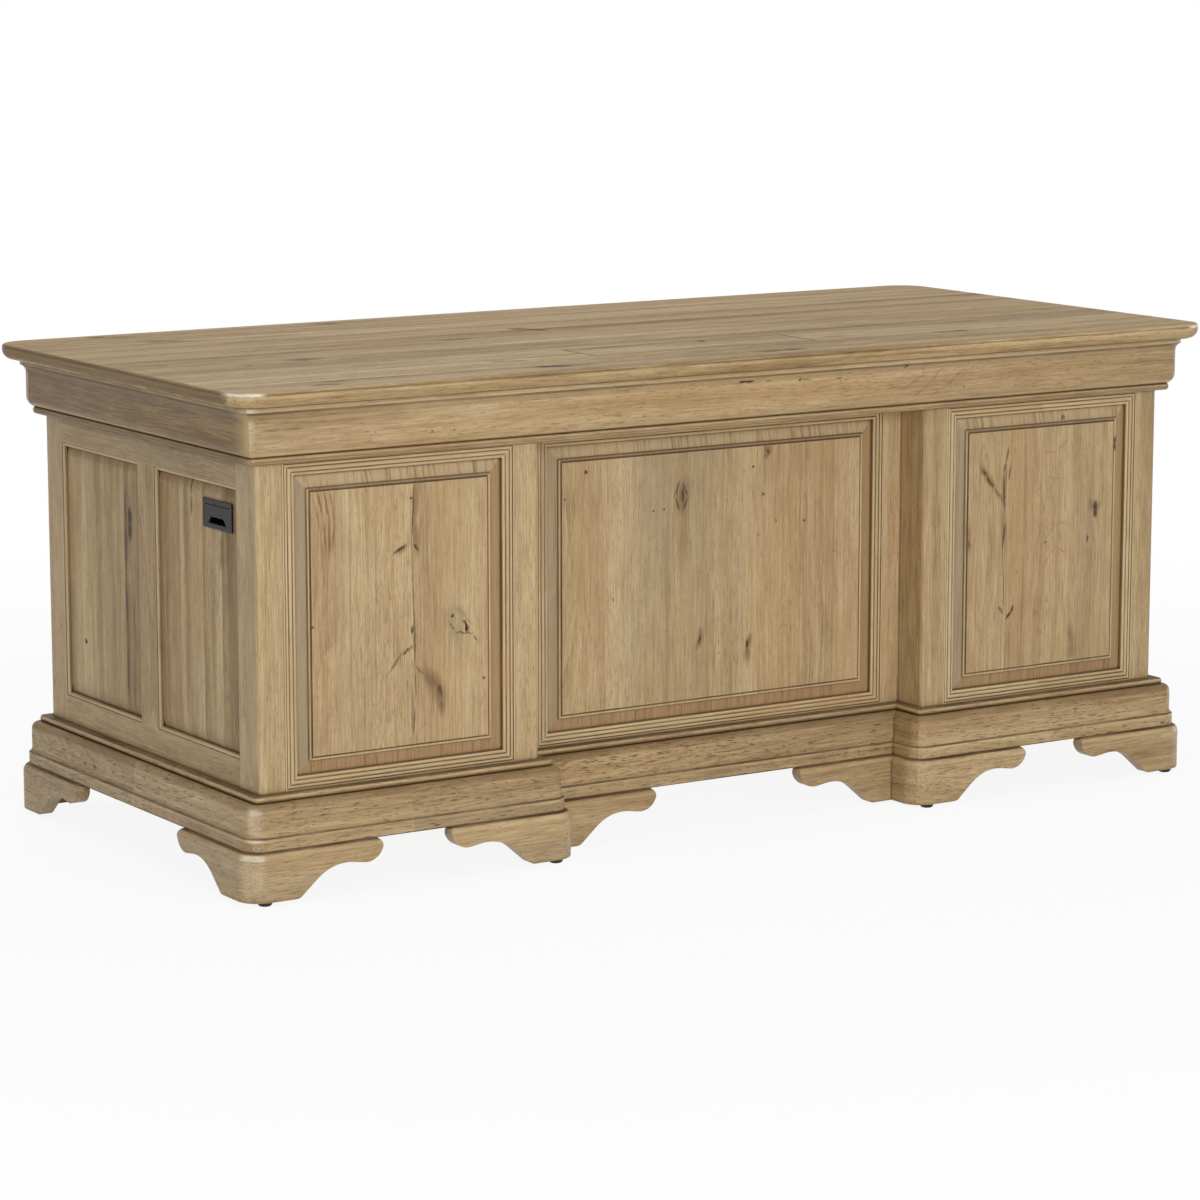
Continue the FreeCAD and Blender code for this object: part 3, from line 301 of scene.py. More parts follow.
# Marks in the wood: ink, strength, and the points that it runs through as (along the grain,
# across it, half width) in millimetres. One point alone is a dot. The places were read in the
# photograph, turned into millimetres by the camera's view, and thinned and rounded.
LEFT_MARKS = (
    (DARK, 0.95, ((400, -760, 2),)),
    (BROWN, 0.55, ((610, -580, 6), (545, -585, 6), (495, -580, 5))),
    (DARK, 0.55, ((605, -585, 1.5), (515, -590, 1.5), (325, -585, 1))),
    (DARK, 0.75, ((580, -590, 2),)),
    (DARK, 0.75, ((385, -590, 1), (375, -590, 2))),
    (DARK, 0.55, ((320, -585, 1), (265, -585, 1.5), (215, -590, 1))),
    (BROWN, 0.55, ((290, -590, 2.5), (215, -590, 2))),
    (DARK, 0.75, ((500, -620, 1), (510, -600, 3))),
    (BROWN, 0.55, ((500, -610, 4), (510, -600, 5))),
    (DARK, 0.75, ((510, -585, 2), (500, -580, 1))),
    (BROWN, 0.75, ((355, -590, 2.5), (345, -610, 2.5), (320, -630, 1.5))),
    (DARK, 0.55, ((355, -595, 1.5), (345, -605, 1.5))),
    (BROWN, 0.75, ((325, -585, 1), (310, -570, 2.5))),
    (BROWN, 0.75, ((310, -565, 3.5), (290, -545, 11), (270, -540, 7), (255, -540, 3.5))),
    (DARK, 0.55, ((290, -545, 2), (280, -540, 3.5))),
    (DARK, 0.95, ((385, -500, 1), (380, -495, 3), (370, -495, 1))),
    (DARK, 0.55, ((385, -525, 1), (370, -515, 1.5), (365, -485, 1.5), (350, -475, 0.5))),
    (DARK, 0.95, ((395, -520, 2),)),
    (GREY, 0.45, ((400, -525, 9), (375, -520, 11), (365, -515, 7))),
    (GREY, 0.45, ((405, -510, 9), (395, -500, 9))),
    (BROWN, 0.35, ((405, -510, 1.5), (380, -485, 1.5))),
    (BROWN, 0.35, ((400, -535, 1), (205, -535, 1))),
    (DARK, 0.75, ((295, -465, 2),)),
    (BROWN, 0.75, ((605, -750, 1), (565, -740, 1.5), (510, -735, 1))),
    (BROWN, 0.75, ((610, -740, 1), (560, -730, 1.5), (500, -730, 1))),
    (BROWN, 0.55, ((605, -730, 1), (555, -720, 1.5), (515, -725, 1))),
    (BROWN, 0.55, ((590, -755, 1), (545, -745, 1.5), (480, -740, 1))),
    (BROWN, 0.35, ((615, -695, 2), (195, -695, 2))),
    (BROWN, 0.35, ((615, -650, 2), (200, -655, 2))),
)
CENTER_MARKS = (
    (DARK, 0.95, ((585, -240, 2.5),)),
    (DARK, 0.75, ((545, -280, 1.5),)),
    (BROWN, 0.35, ((565, -280, 1.5), (475, -270, 1), (565, -255, 1.5))),
    (BROWN, 0.35, ((570, -275, 1.5), (505, -270, 1.5), (565, -260, 1.5))),
    (BROWN, 0.75, ((550, -60, 12), (515, -60, 12))),
    (DARK, 0.55, ((560, -65, 2), (535, -75, 2), (510, -65, 2))),
    (DARK, 0.55, ((555, -60, 2), (530, -50, 2), (510, -60, 2))),
    (DARK, 0.55, ((545, -60, 3), (525, -60, 3.5))),
    (BROWN, 0.35, ((505, -60, 9), (440, -60, 9))),
    (DARK, 0.75, ((515, -115, 1.5),)),
    (DARK, 0.75, ((515, -95, 1.5),)),
    (BROWN, 0.75, ((600, 100, 3), (595, 105, 5), (585, 100, 3))),
    (DARK, 0.55, ((595, 100, 2), (590, 105, 2.5))),
    (DARK, 0.95, ((570, 75, 2),)),
    (DARK, 0.75, ((525, 95, 2),)),
    (DARK, 0.55, ((480, 120, 2),)),
    (DARK, 0.75, ((475, 175, 2),)),
    (BROWN, 0.75, ((315, -25, 2), (300, -25, 4.5), (290, -30, 2.5))),
    (DARK, 0.75, ((305, -25, 1.5), (295, -30, 2.5))),
    (BROWN, 0.75, ((295, 70, 2.5), (280, 65, 5.5), (260, 65, 2))),
    (DARK, 0.75, ((290, 65, 1.5), (280, 65, 3))),
    (BROWN, 0.35, ((380, 0, 1.5), (300, 0, 2), (215, 0, 1))),
    (BROWN, 0.35, ((570, -20, 1.5), (505, -20, 2), (440, -20, 1))),
    (BROWN, 0.35, ((530, 195, 1), (405, 200, 1.5), (325, 215, 1.5), (250, 210, 1))),
    (BROWN, 0.75, ((380, -190, 1.5),)),
    (BROWN, 0.75, ((275, 10, 1.5),)),
    (BROWN, 0.75, ((420, 235, 1.5),)),
    (BROWN, 0.75, ((460, 85, 1.5),)),
)
RIGHT_MARKS = (
    (DARK, 0.55, ((575, 540, 1), (550, 535, 2.5), (535, 530, 2.5))),
    (DARK, 0.55, ((545, 545, 1), (520, 540, 2))),
    (BROWN, 0.55, ((535, 535, 4.5), (470, 530, 5.5), (410, 535, 3.5))),
    (DARK, 0.55, ((535, 530, 1.5), (450, 535, 2.5), (410, 530, 1.5), (300, 535, 1))),
    (BROWN, 0.35, ((300, 530, 1.5), (205, 530, 1.5))),
    (BROWN, 0.75, ((545, 485, 3.5), (530, 495, 5.5), (510, 510, 3.5), (485, 530, 2))),
    (DARK, 0.55, ((540, 485, 1.5), (530, 495, 2.5), (510, 510, 1.5))),
    (DARK, 0.75, ((290, 540, 1.5), (300, 550, 3), (310, 555, 1.5))),
    (DARK, 0.55, ((310, 525, 1), (305, 530, 2.5), (300, 530, 1))),
    (BROWN, 0.55, ((450, 455, 3.5), (430, 460, 6), (410, 460, 3))),
    (DARK, 0.55, ((425, 460, 1.5), (415, 460, 2))),
    (RUST, 0.7, ((560, 615, 1), (560, 640, 2), (580, 665, 1))),
    (RUST, 0.7, ((520, 620, 1), (515, 640, 1.5), (515, 655, 1))),
    (RUST, 0.7, ((495, 600, 1), (475, 615, 1.5), (455, 615, 2), (420, 605, 1.5))),
    (RUST, 0.7, ((440, 665, 1), (440, 640, 1.5), (415, 620, 1.5))),
    (RUST, 0.7, ((390, 665, 1.5), (400, 640, 2), (390, 630, 2), (360, 610, 1.5))),
    (RUST, 0.7, ((335, 605, 1.5), (275, 610, 2), (245, 610, 1.5))),
    (RUST, 0.7, ((320, 625, 1.5), (305, 625, 2), (280, 625, 1.5))),
    (DARK, 0.75, ((410, 620, 1.5),)),
    (DARK, 0.75, ((470, 725, 1), (455, 725, 4.5), (445, 725, 1.5))),
    (BROWN, 0.55, ((470, 715, 1), (455, 725, 5.5), (465, 735, 1))),
    (DARK, 0.75, ((415, 710, 1.5), (405, 710, 2))),
    (BROWN, 0.35, ((445, 725, 2), (335, 725, 2), (215, 725, 1.5))),
    (BROWN, 0.55, ((260, 675, 4), (235, 680, 7.5), (210, 680, 4))),
    (BROWN, 0.35, ((595, 575, 2), (400, 575, 2.5), (190, 570, 1.5))),
    (DARK, 0.75, ((575, 765, 1.5), (565, 765, 3.5), (555, 765, 1.5))),
    (DARK, 0.55, ((615, 655, 3.5),)),
)
TOP_MARKS = (
    (DARK, 0.75, ((-110, 140, 6), (-90, 125, 10), (-75, 95, 4))),
    (DARK, 0.55, ((-300, 50, 5), (-270, 50, 10), (-250, 50, 5))),
    (DARK, 0.95, ((-360, -350, 6), (-345, -355, 10), (-320, -360, 6))),
    (BROWN, 0.55, ((-370, -350, 7), (-340, -355, 14), (-285, -360, 6))),
    (DARK, 0.55, ((40, -360, 5), (80, -360, 11), (120, -360, 5))),
    (BROWN, 0.55, ((-380, -250, 6), (-360, -260, 10), (-340, -265, 6))),
    (BROWN, 0.75, ((-700, 285, 5), (-680, 280, 13), (-655, 270, 5))),
    (DARK, 0.75, ((-750, 390, 5), (-730, 390, 8))),
    (BROWN, 0.55, ((-720, 375, 7), (-710, 370, 12), (-695, 370, 7))),
    (DARK, 0.55, ((-345, 380, 6), (-330, 375, 11), (-315, 375, 6))),
    (BROWN, 0.75, ((-630, -70, 7), (-610, -65, 15), (-595, -70, 7))),
    (DARK, 0.55, ((-625, -75, 5), (-610, -80, 7))),
    (BROWN, 0.75, ((-725, -345, 4), (-715, -345, 9), (-705, -350, 4))),
    (DARK, 0.55, ((-765, -375, 4), (-745, -375, 9), (-725, -380, 5))),
    (BROWN, 0.75, ((-725, -100, 6),)),
    (BROWN, 0.55, ((-855, -25, 4), (-830, -30, 6))),
    (DARK, 0.55, ((450, -275, 5), (475, -280, 10), (510, -280, 5))),
    (BROWN, 0.55, ((570, -165, 5), (590, -165, 9), (610, -170, 5))),
    (BROWN, 0.55, ((255, -240, 5), (270, -240, 8), (290, -240, 5))),
    (BROWN, 0.35, ((275, -140, 5), (415, -140, 6), (480, -150, 5))),
    (BROWN, 0.35, ((685, -280, 5), (785, -285, 6), (880, -305, 4))),
    (BROWN, 0.35, ((-765, 260, 8), (-590, 255, 12), (-445, 250, 5))),
    (BROWN, 0.35, ((-745, 15, 6), (-515, 25, 10), (-260, 25, 5))),
    (BROWN, 0.35, ((-635, -195, 6), (-425, -195, 9), (-230, -200, 5))),
)
FRIEZE_MARKS = (
    (DARK, 0.95, ((-15, 720, 1), (-5, 720, 2), (10, 720, 1))),
    (DARK, 0.55, ((35, 718, 1), (45, 718, 1))),
    (DARK, 0.75, ((100, 716, 2),)),
    (BROWN, 0.75, ((105, 716, 1.5), (115, 716, 1))),
    (DARK, 0.75, ((170, 714, 1), (180, 714, 1.5))),
    (BROWN, 0.55, ((130, 712, 1), (175, 712, 1), (185, 702, 1))),
    (BROWN, 0.35, ((125, 698, 1), (170, 705, 1), (195, 692, 1))),
    (DARK, 0.95, ((305, 726, 2.5),)),
    (BROWN, 0.35, ((275, 695, 1.5), (305, 690, 2.5), (340, 708, 1.5), (345, 724, 1))),
    (BROWN, 0.35, ((355, 674, 1.5), (390, 688, 2), (420, 712, 1.5))),
    (BROWN, 0.35, ((325, 676, 1.5), (355, 694, 2), (375, 714, 1.5))),
    (DARK, 0.75, ((525, 680, 1), (535, 680, 1))),
    (DARK, 0.55, ((425, 686, 1.5),)),
    (DARK, 0.75, ((-385, 661, 1), (-360, 661, 1))),
    (DARK, 0.75, ((-340, 661, 1), (-330, 661, 1.5), (-320, 661, 1))),
    (DARK, 0.55, ((-665, 687, 1.5),)),
    (DARK, 0.55, ((-570, 682, 1.5),)),
    (DARK, 0.55, ((-530, 682, 1.5),)),
    (BROWN, 0.55, ((-850, 702, 1), (-820, 703, 2.5), (-790, 702, 1))),
    (BROWN, 0.35, ((-790, 710, 1), (-740, 711, 1.5), (-690, 710, 1))),
)
LID_MARKS = (
    (BROWN, 0.75, ((-171, -180, 4), (-144, -178, 7), (-79, -176, 4))),
    (DARK, 0.95, ((47, -184, 7),)),
    (BROWN, 0.35, ((-40, -205, 4), (60, -204, 6), (150, -206, 3))),
)
END_MARKS = (
    (DARK, 0.55, ((560, 85, 2), (508, 84, 4), (430, 86, 5), (330, 85, 4), (225, 84, 2))),
    (BROWN, 0.55, ((600, 80, 5), (430, 78, 12), (220, 82, 6))),
    (DARK, 0.75, ((528, 69, 2), (508, 69, 7), (486, 70, 2))),
    (DARK, 0.95, ((298, 234, 4),)),
    (BROWN, 0.55, ((525, -237, 2), (505, -237, 6), (483, -236, 2))),
    (DARK, 0.55, ((610, -141, 2), (580, -141, 4), (550, -140, 2))),
    (BROWN, 0.35, ((600, -120, 4), (430, -122, 7), (250, -120, 3))),
)


def linear(color):
    """Linear colour with full alpha from sRGB values of 0 to 255."""
    def channel(value):
        value = value / 255
        return value / 12.92 if value <= 0.04045 else ((value + 0.055) / 1.055) ** 2.4
    return tuple(channel(value) for value in color) + (1.0,)


class Signal:
    """A number that varies over a surface: one output of a material's node tree."""

    def __init__(self, tree, socket):
        self.tree = tree
        self.socket = socket

    def math(self, operation, *others, clamp=False):
        node = self.tree.nodes.new("ShaderNodeMath")
        node.operation = operation
        node.use_clamp = clamp
        for slot, value in zip(node.inputs, (self,) + others):
            feed(self.tree, slot, value)
        return Signal(self.tree, node.outputs[0])

    def __add__(self, other):
        return self.math("ADD", other)

    __radd__ = __add__

    def __sub__(self, other):
        return self.math("SUBTRACT", other)

    def __rsub__(self, other):
        return (self * -1.0).math("ADD", other)

    def __mul__(self, other):
        return self.math("MULTIPLY", other)

    __rmul__ = __mul__

    def __truediv__(self, other):
        return self.math("DIVIDE", other)

    def __abs__(self):
        return self.math("ABSOLUTE")

    def over(self, edge):
        """1 where the number is above the edge, else 0."""
        return self.math("GREATER_THAN", edge)

    def smooth(self, low, high):
        """0 at low, 1 at high, with a smooth rise between them."""
        node = self.tree.nodes.new("ShaderNodeMapRange")
        node.interpolation_type = "SMOOTHSTEP"
        feed(self.tree, node.inputs["Value"], self)
        node.inputs["From Min"].default_value = low
        node.inputs["From Max"].default_value = high
        return Signal(self.tree, node.outputs["Result"])

    def lower(self, other):
        return self.math("MINIMUM", other)

    def higher(self, other):
        return self.math("MAXIMUM", other)


class Point:
    """A vector that varies over a surface."""

    def __init__(self, tree, socket):
        self.tree = tree
        self.socket = socket

    def vector_math(self, operation, other):
        node = self.tree.nodes.new("ShaderNodeVectorMath")
        node.operation = operation
        feed(self.tree, node.inputs[0], self)
        feed(self.tree, node.inputs[1], other)
        return node

    def scaled(self, factors):
        return Point(self.tree, self.vector_math("MULTIPLY", factors).outputs["Vector"])

    def moved(self, offset):
        return Point(self.tree, self.vector_math("ADD", offset).outputs["Vector"])

    def length(self):
        return Signal(self.tree, self.vector_math("LENGTH", (0, 0, 0)).outputs["Value"])

    def split(self):
        node = self.tree.nodes.new("ShaderNodeSeparateXYZ")
        feed(self.tree, node.inputs[0], self)
        return [Signal(self.tree, output) for output in node.outputs]


def feed(tree, slot, value):
    """Give a socket a signal or a constant."""
    if isinstance(value, (Signal, Point)):
        tree.links.new(value.socket, slot)
    else:
        slot.default_value = value


def combined(tree, x, y, z):
    node = tree.nodes.new("ShaderNodeCombineXYZ")
    for slot, value in zip(node.inputs, (x, y, z)):
        feed(tree, slot, value)
    return Point(tree, node.outputs[0])


def times(vector, amount):
    """A constant vector stretched by a signal."""
    node = amount.tree.nodes.new("ShaderNodeVectorMath")
    node.operation = "SCALE"
    node.inputs[0].default_value = vector
    feed(amount.tree, node.inputs["Scale"], amount)
    return Point(amount.tree, node.outputs["Vector"])


def either(tree, choice, off, on):
    """Vector off where choice is 0, vector on where it is 1."""
    node = tree.nodes.new("ShaderNodeMix")
    node.data_type = "VECTOR"
    feed(tree, node.inputs["Factor"], choice)
    feed(tree, node.inputs[4], off)
    feed(tree, node.inputs[5], on)
    return Point(tree, node.outputs[1])


def noise(tree, point, detail=2.0, roughness=0.5):
    """Noise about zero, mostly within a quarter either way."""
    node = tree.nodes.new("ShaderNodeTexNoise")
    feed(tree, node.inputs["Vector"], point)
    node.inputs["Scale"].default_value = 1.0
    node.inputs["Detail"].default_value = detail
    node.inputs["Roughness"].default_value = roughness
    return Signal(tree, node.outputs["Fac"]) - 0.5


def scatter(tree, number):
    """Three random numbers from 0 to 1, fixed by a number."""
    node = tree.nodes.new("ShaderNodeTexWhiteNoise")
    node.noise_dimensions = "1D"
    feed(tree, node.inputs["W"], number)
    return Point(tree, node.outputs["Color"])


def tint(tree, base, color, amount):
    """Colour moved towards another one by an amount from 0 to 1."""
    node = tree.nodes.new("ShaderNodeMix")
    node.data_type = "RGBA"
    feed(tree, node.inputs["Factor"], amount)
    feed(tree, node.inputs[6], base)
    feed(tree, node.inputs[7], color)
    return Signal(tree, node.outputs[2])


def occlusion(tree, reach, inside, samples):
    """0 on open surface, rising where it is hemmed in within reach, or near an arris if inside."""
    node = tree.nodes.new("ShaderNodeAmbientOcclusion")
    node.samples = samples
    node.inside = inside
    node.only_local = inside
    node.inputs["Distance"].default_value = reach
    return 1.0 - Signal(tree, node.outputs["AO"])


def new_material(name):
    """Empty material with its shader, and the position on the surface in the desk's frame."""
    material = bpy.data.materials.new(name)
    material.use_nodes = True
    tree = material.node_tree
    shader = tree.nodes["Principled BSDF"]
    place = tree.nodes.new("ShaderNodeTexCoord")
    return material, tree, shader, Point(tree, place.outputs["Object"])


def spindle(place, first, second):
    """Distance from a spindle-shaped mark between two points, 1 at its edge."""
    rise = second[0] - first[0]
    side = second[1] - first[1]
    middle = ((first[0] + second[0]) / 2 * MM, (first[1] + second[1]) / 2 * MM, 0.0)
    half_wide = max(first[2], second[2]) * (DOT if first == second else 1.0)
    half_long = math.hypot(rise, side) / 2 + half_wide * SPINDLE_TIP
    node = place.tree.nodes.new("ShaderNodeMapping")
    node.vector_type = "TEXTURE"
    feed(place.tree, node.inputs["Vector"], place)
    node.inputs["Location"].default_value = middle
    node.inputs["Rotation"].default_value = (0.0, 0.0, math.atan2(side, rise))
    node.inputs["Scale"].default_value = (half_long * MM, half_wide * MM, 1.0)
    return Point(place.tree, node.outputs["Vector"]).length()


def drawn_marks(grain, ragged, fibre, marks):
    """Amount of each ink over the wood, as pairs of ink and amount."""
    frayed = grain.moved(times(FRAY, ragged)).scaled((1.0, 1.0, 0.0))
    groups = {}
    for ink, strength, points in marks:
        for first, second in zip(points, points[1:] or points):
            reach = spindle(frayed, first, second)
            known = groups.get((ink, strength))
            groups[ink, strength] = reach if known is None else known.lower(reach)
    drawn = []
    for (ink, strength), reach in sorted(groups.items(), reverse=True):
        amount = (reach + fibre * FIBRE_FRAY).smooth(*MARK_EDGE[ink]) * (strength * INK)
        drawn.append((ink, amount))
    return drawn


def year_rings(tree, along, across, draws, warp, ragged, seed):
    """Early wood, from 1 down to 0 across each year ring, and a random number for each year."""
    draw_a, draw_b, draw_c = draws
    wave = combined(tree, along * PITH_WAVE + draw_c * PITH_APART, draw_a * PITH_ASIDE, float(seed))
    rise = noise(tree, wave, 1.0)
    offset = across + (draw_b - 0.5) * PITH_ACROSS
    height = (draw_a * PITH_SPREAD + PITH_DEPTH) + rise * PITH_RISE
    ring = (offset * offset + height * height).math("SQRT") + warp * RING_WARP + ragged * RING_FRAY
    count = ring / RING_SPACING
    early = (1.0 - count.math("FRACT")).math("POWER", 2.0)
    year = scatter(tree, count.math("FLOOR") * YEAR_STEP + seed * YEAR_SEED).split()[0]
    return early, year


def oak_ramp(tree, value):
    """Colour of the oak for a tone from 0 to 1."""
    ramp = tree.nodes.new("ShaderNodeValToRGB")
    feed(tree, ramp.inputs["Fac"], value)
    deep, pale = ramp.color_ramp.elements
    deep.position = 0.0
    deep.color = linear(OAK_DEEP)
    pale.position = 1.0
    pale.color = linear(OAK_PALE)
    ramp.color_ramp.elements.new(0.5).color = linear(OAK_MID)
    return Signal(tree, ramp.outputs["Color"])


def specks(tree, grain):
    """Small dark specks, in some cells of the wood only."""
    cell = tree.nodes.new("ShaderNodeTexVoronoi")
    feed(tree, cell.inputs["Vector"], grain.scaled(SPECK_GRAIN))
    cell.inputs["Scale"].default_value = 1.0
    luck = Point(tree, cell.outputs["Color"]).split()[0]
    size = (luck - SPECK_LUCK).smooth(0.0, SPECK_SPAN) * SPECK_SIZE
    return (size - Signal(tree, cell.outputs["Distance"])).smooth(*SPECK_EDGE)


def relief(tree, shader, height, strength, depth, soft_edge=0.0):
    """Bump on a shader, over arrises that are rounded off if a radius is given."""
    bump = tree.nodes.new("ShaderNodeBump")
    bump.inputs["Strength"].default_value = strength
    bump.inputs["Distance"].default_value = depth
    feed(tree, bump.inputs["Height"], height)
    if soft_edge:
        soft = tree.nodes.new("ShaderNodeBevel")
        soft.samples = SOFT_RAYS
        soft.inputs["Radius"].default_value = soft_edge
        tree.links.new(soft.outputs["Normal"], bump.inputs["Normal"])
    tree.links.new(bump.outputs["Normal"], shader.inputs["Normal"])


def oak(name, lay, seed, seams=(), marks=(), heart=0.0, tone=0.0, spread=0.12, dash=1.0, streaks=1.0,
        border=None, shine=0.28, wear=0.4):
    """Satin oak. lay gives the position as (along, across, depth) of the grain and a number for each
    piece, seams are pairs of a place across the grain and a step in tone, and border is a function
    that paints over the wood, such as lined gives."""
    material, tree, shader, place = new_material(name)
    grain, piece = lay(tree, place)
    along, across = grain.split()[:2]
    lift = TONE + tone
    for seam, step in seams:
        past = across.over(seam)
        piece = past + piece
        lift = past * step + lift

    board = scatter(tree, piece * PIECE_STEP + seed * SEED_STEP)
    draws = board.split()
    moved = grain.moved(board.scaled(BOARD_SHIFT))
    warp = noise(tree, moved.scaled(WARP_GRAIN))
    ragged = noise(tree, moved.scaled(RAGGED_GRAIN))
    shifted = moved.moved(times(WARP_REACH, warp))
    early, year = year_rings(tree, along, across - heart, draws, warp, ragged, seed)

    band = noise(tree, shifted.scaled(BAND_GRAIN))
    streak = noise(tree, shifted.scaled(STREAK_GRAIN), 3.0, 0.6)
    fibre = noise(tree, shifted.scaled(FIBRE_GRAIN), 3.0, 0.65)
    mottle = noise(tree, moved.scaled(MOTTLE_GRAIN))
    cloud = noise(tree, shifted.scaled(CLOUD_GRAIN))
    pores = noise(tree, shifted.scaled(PORE_GRAIN), 1.0).smooth(*PORE_RANGE)
    dashes = noise(tree, shifted.scaled(DASH_GRAIN), 2.0, 0.6)
    dashes = (dashes + early * DASH_EARLY + cloud * DASH_CLOUD).smooth(*DASH_RANGE)

    value = (streak + band) * (STREAK_SHARE * streaks) + fibre * FIBRE_SHARE - early * EARLY_SHARE
    value = value + (cloud + mottle) * CLOUD_SHARE
    value = value + (year - 0.5) * YEAR_SHARE + (draws[0] - 0.5) * spread + lift
    color = oak_ramp(tree, value)

    hue = noise(tree, shifted.moved(HUE_SHIFT).scaled(HUE_GRAIN)) + (draws[2] - 0.5) * HUE_SPREAD
    color = tint(tree, color, linear(OAK_GREY), hue.smooth(*HUE_RANGE) * GREY_SHARE)
    color = tint(tree, color, linear(OAK_WARM), (hue * -1.0).smooth(*HUE_RANGE) * WARM_SHARE)
    color = tint(tree, color, linear(PORE), dashes * (DASH_SHARE * dash))
    color = tint(tree, color, linear(PORE), pores * (early * PORE_EARLY + PORE_LATE))
    color = tint(tree, color, linear(DARK), specks(tree, shifted) * SPECK_SHARE)
    if border:
        color = border(tree, place, color, fibre)
    if marks:
        for ink, amount in drawn_marks(grain, ragged, fibre, marks):
            color = tint(tree, color, linear(ink), amount)

    # Glaze and painted shade: the wood darkens where ambient occlusion finds it hemmed in. Arrises wear
    # paler.
    hollow = occlusion(tree, GLAZE_SHADE_REACH, False, GLAZE_SHADE_RAYS)
    if wear:
        arris = occlusion(tree, EDGE_REACH, True, EDGE_RAYS)
        color = tint(tree, color, linear(PALE_WEAR_AND_HIGHLIGHT), arris.smooth(*EDGE_RANGE) * wear)
    color = tint(tree, color, linear(WASH_AND_SHADE), hollow.smooth(*WASH_SHADE_RANGE) * WASH_SHADE_SHARE)
    color = tint(tree, color, linear(GLAZE_AND_SHADE), hollow.smooth(*GLAZE_SHADE_RANGE) * GLAZE_SHADE_SHARE)
    feed(tree, shader.inputs["Base Color"], color)

    rough = streak * ROUGH_STREAK + dashes * ROUGH_DASH + hollow * ROUGH_CORNER + ROUGHNESS
    feed(tree, shader.inputs["Roughness"], rough)
    shader.inputs["Specular IOR Level"].default_value = shine
    height = fibre * RELIEF_SHARE - pores * RELIEF_SHARE - dashes * (RELIEF_SHARE * dash)
    relief(tree, shader, height, RELIEF_STRENGTH, RELIEF_DEPTH, SOFT_EDGE)
    return material


# Lays: how the grain runs in a piece, and a number that tells its pieces apart.

def lay_along(order):
    """One direction of grain for the whole node, as the order of axes (along, across, depth)."""
    def lay(tree, place):
        axes = place.split()
        return combined(tree, *(axes[index] for index in order)), 0.0
    return lay


X_FLAT = lay_along((0, 1, 2))
X_UPRIGHT = lay_along((0, 2, 1))
Y_UPRIGHT = lay_along((1, 2, 0))
Z_FRONT = lay_along((2, 0, 1))
Z_END = lay_along((2, 1, 0))


def lay_posts(tree, place):
    """Upright grain, with each post told apart by the quarter that it stands in."""
    x, y, z = place.split()
    number = x.over(0.0) + y.over(0.0) * 2.0 + abs(x).over(pedestal_middle) * 4.0
    return combined(tree, z, x, y), number


def lay_pairs(order):
    """As lay_along, with the left and the right piece told apart."""
    def lay(tree, place):
        axes = place.split()
        return combined(tree, *(axes[index] for index in order)), axes[0].over(0.0)
    return lay


def lay_mitred_frame(low, high):
    """Four mitred lengths round a panel, or a mirrored pair of panels, with the grain along each."""
    middle = (low + high) / 2
    half = (high - low) / 2
    paired = low.x > 0.0

    def lay(tree, place):
        x, y, z = place.split()
        from_middle_x = (abs(x) if paired else x) - middle.x
        from_middle_z = z - middle.z
        upright = (abs(from_middle_x) - abs(from_middle_z)).over(half.x - half.z)
        grain = either(tree, upright, combined(tree, x, z, y), combined(tree, z, x, y))
        number = upright * 4.0 + from_middle_x.over(0.0) + from_middle_z.over(0.0) * 2.0
        return grain, number + x.over(0.0) * 8.0
    return lay


def lay_end_beads(low, high, muntin):
    """Eight mitred beads round the two panels of an end."""
    half_y = (high.y - muntin) / 2
    middle_y = (high.y + muntin) / 2
    middle_z = (low.z + high.z) / 2
    half_z = (high.z - low.z) / 2

    def lay(tree, place):
        x, y, z = place.split()
        from_middle_y = abs(y) - middle_y
        from_middle_z = z - middle_z
        upright = (abs(from_middle_y) - abs(from_middle_z)).over(half_y - half_z)
        grain = either(tree, upright, combined(tree, y, z, x), combined(tree, z, y, x))
        number = upright * 8.0 + from_middle_y.over(0.0) + from_middle_z.over(0.0) * 2.0
        return grain, number + y.over(0.0) * 4.0 + x.over(0.0) * 16.0
    return lay


def lay_end_frame(rail_z, head_z):
    """Two rails along the end and a muntin between them."""
    def lay(tree, place):
        x, y, z = place.split()
        upright = z.over(rail_z) * (1.0 - z.over(head_z))
        grain = either(tree, upright, combined(tree, y, z, x), combined(tree, z, y, x))
        return grain, upright + z.over(head_z) * 2.0 + x.over(0.0) * 4.0
    return lay


def lay_round_pedestal(middle_x, half_x, half_y, recess_y=None):
    """Lengths mitred round the corner axes of a pedestal, and the wing in the recess."""
    def lay(tree, place):
        x, y, z = place.split()
        past_x = abs(abs(x) - middle_x) - half_x
        past_y = abs(y) - half_y
        along_x = (past_y - past_x).over(0.0)
        number = along_x + y.over(0.0) * 2.0 + x.over(0.0) * 4.0 + abs(x).over(middle_x) * 8.0
        if recess_y is not None:
            inner_x = middle_x - half_x
            wing = ((inner_x - abs(x)) + (y - recess_y)).over(0.0)
            along_x = along_x.higher(wing)
            number = number + wing * 16.0
        grain = either(tree, along_x, combined(tree, y, z, x), combined(tree, x, z, y))
        return grain, number
    return lay


def lay_drawer_fronts(tree, place):
    """Grain along the desk, with the left, the center and the right front told apart."""
    x, y, z = place.split()
    return combined(tree, x, z, y), x.over(-wall_high.x) + x.over(wall_high.x)


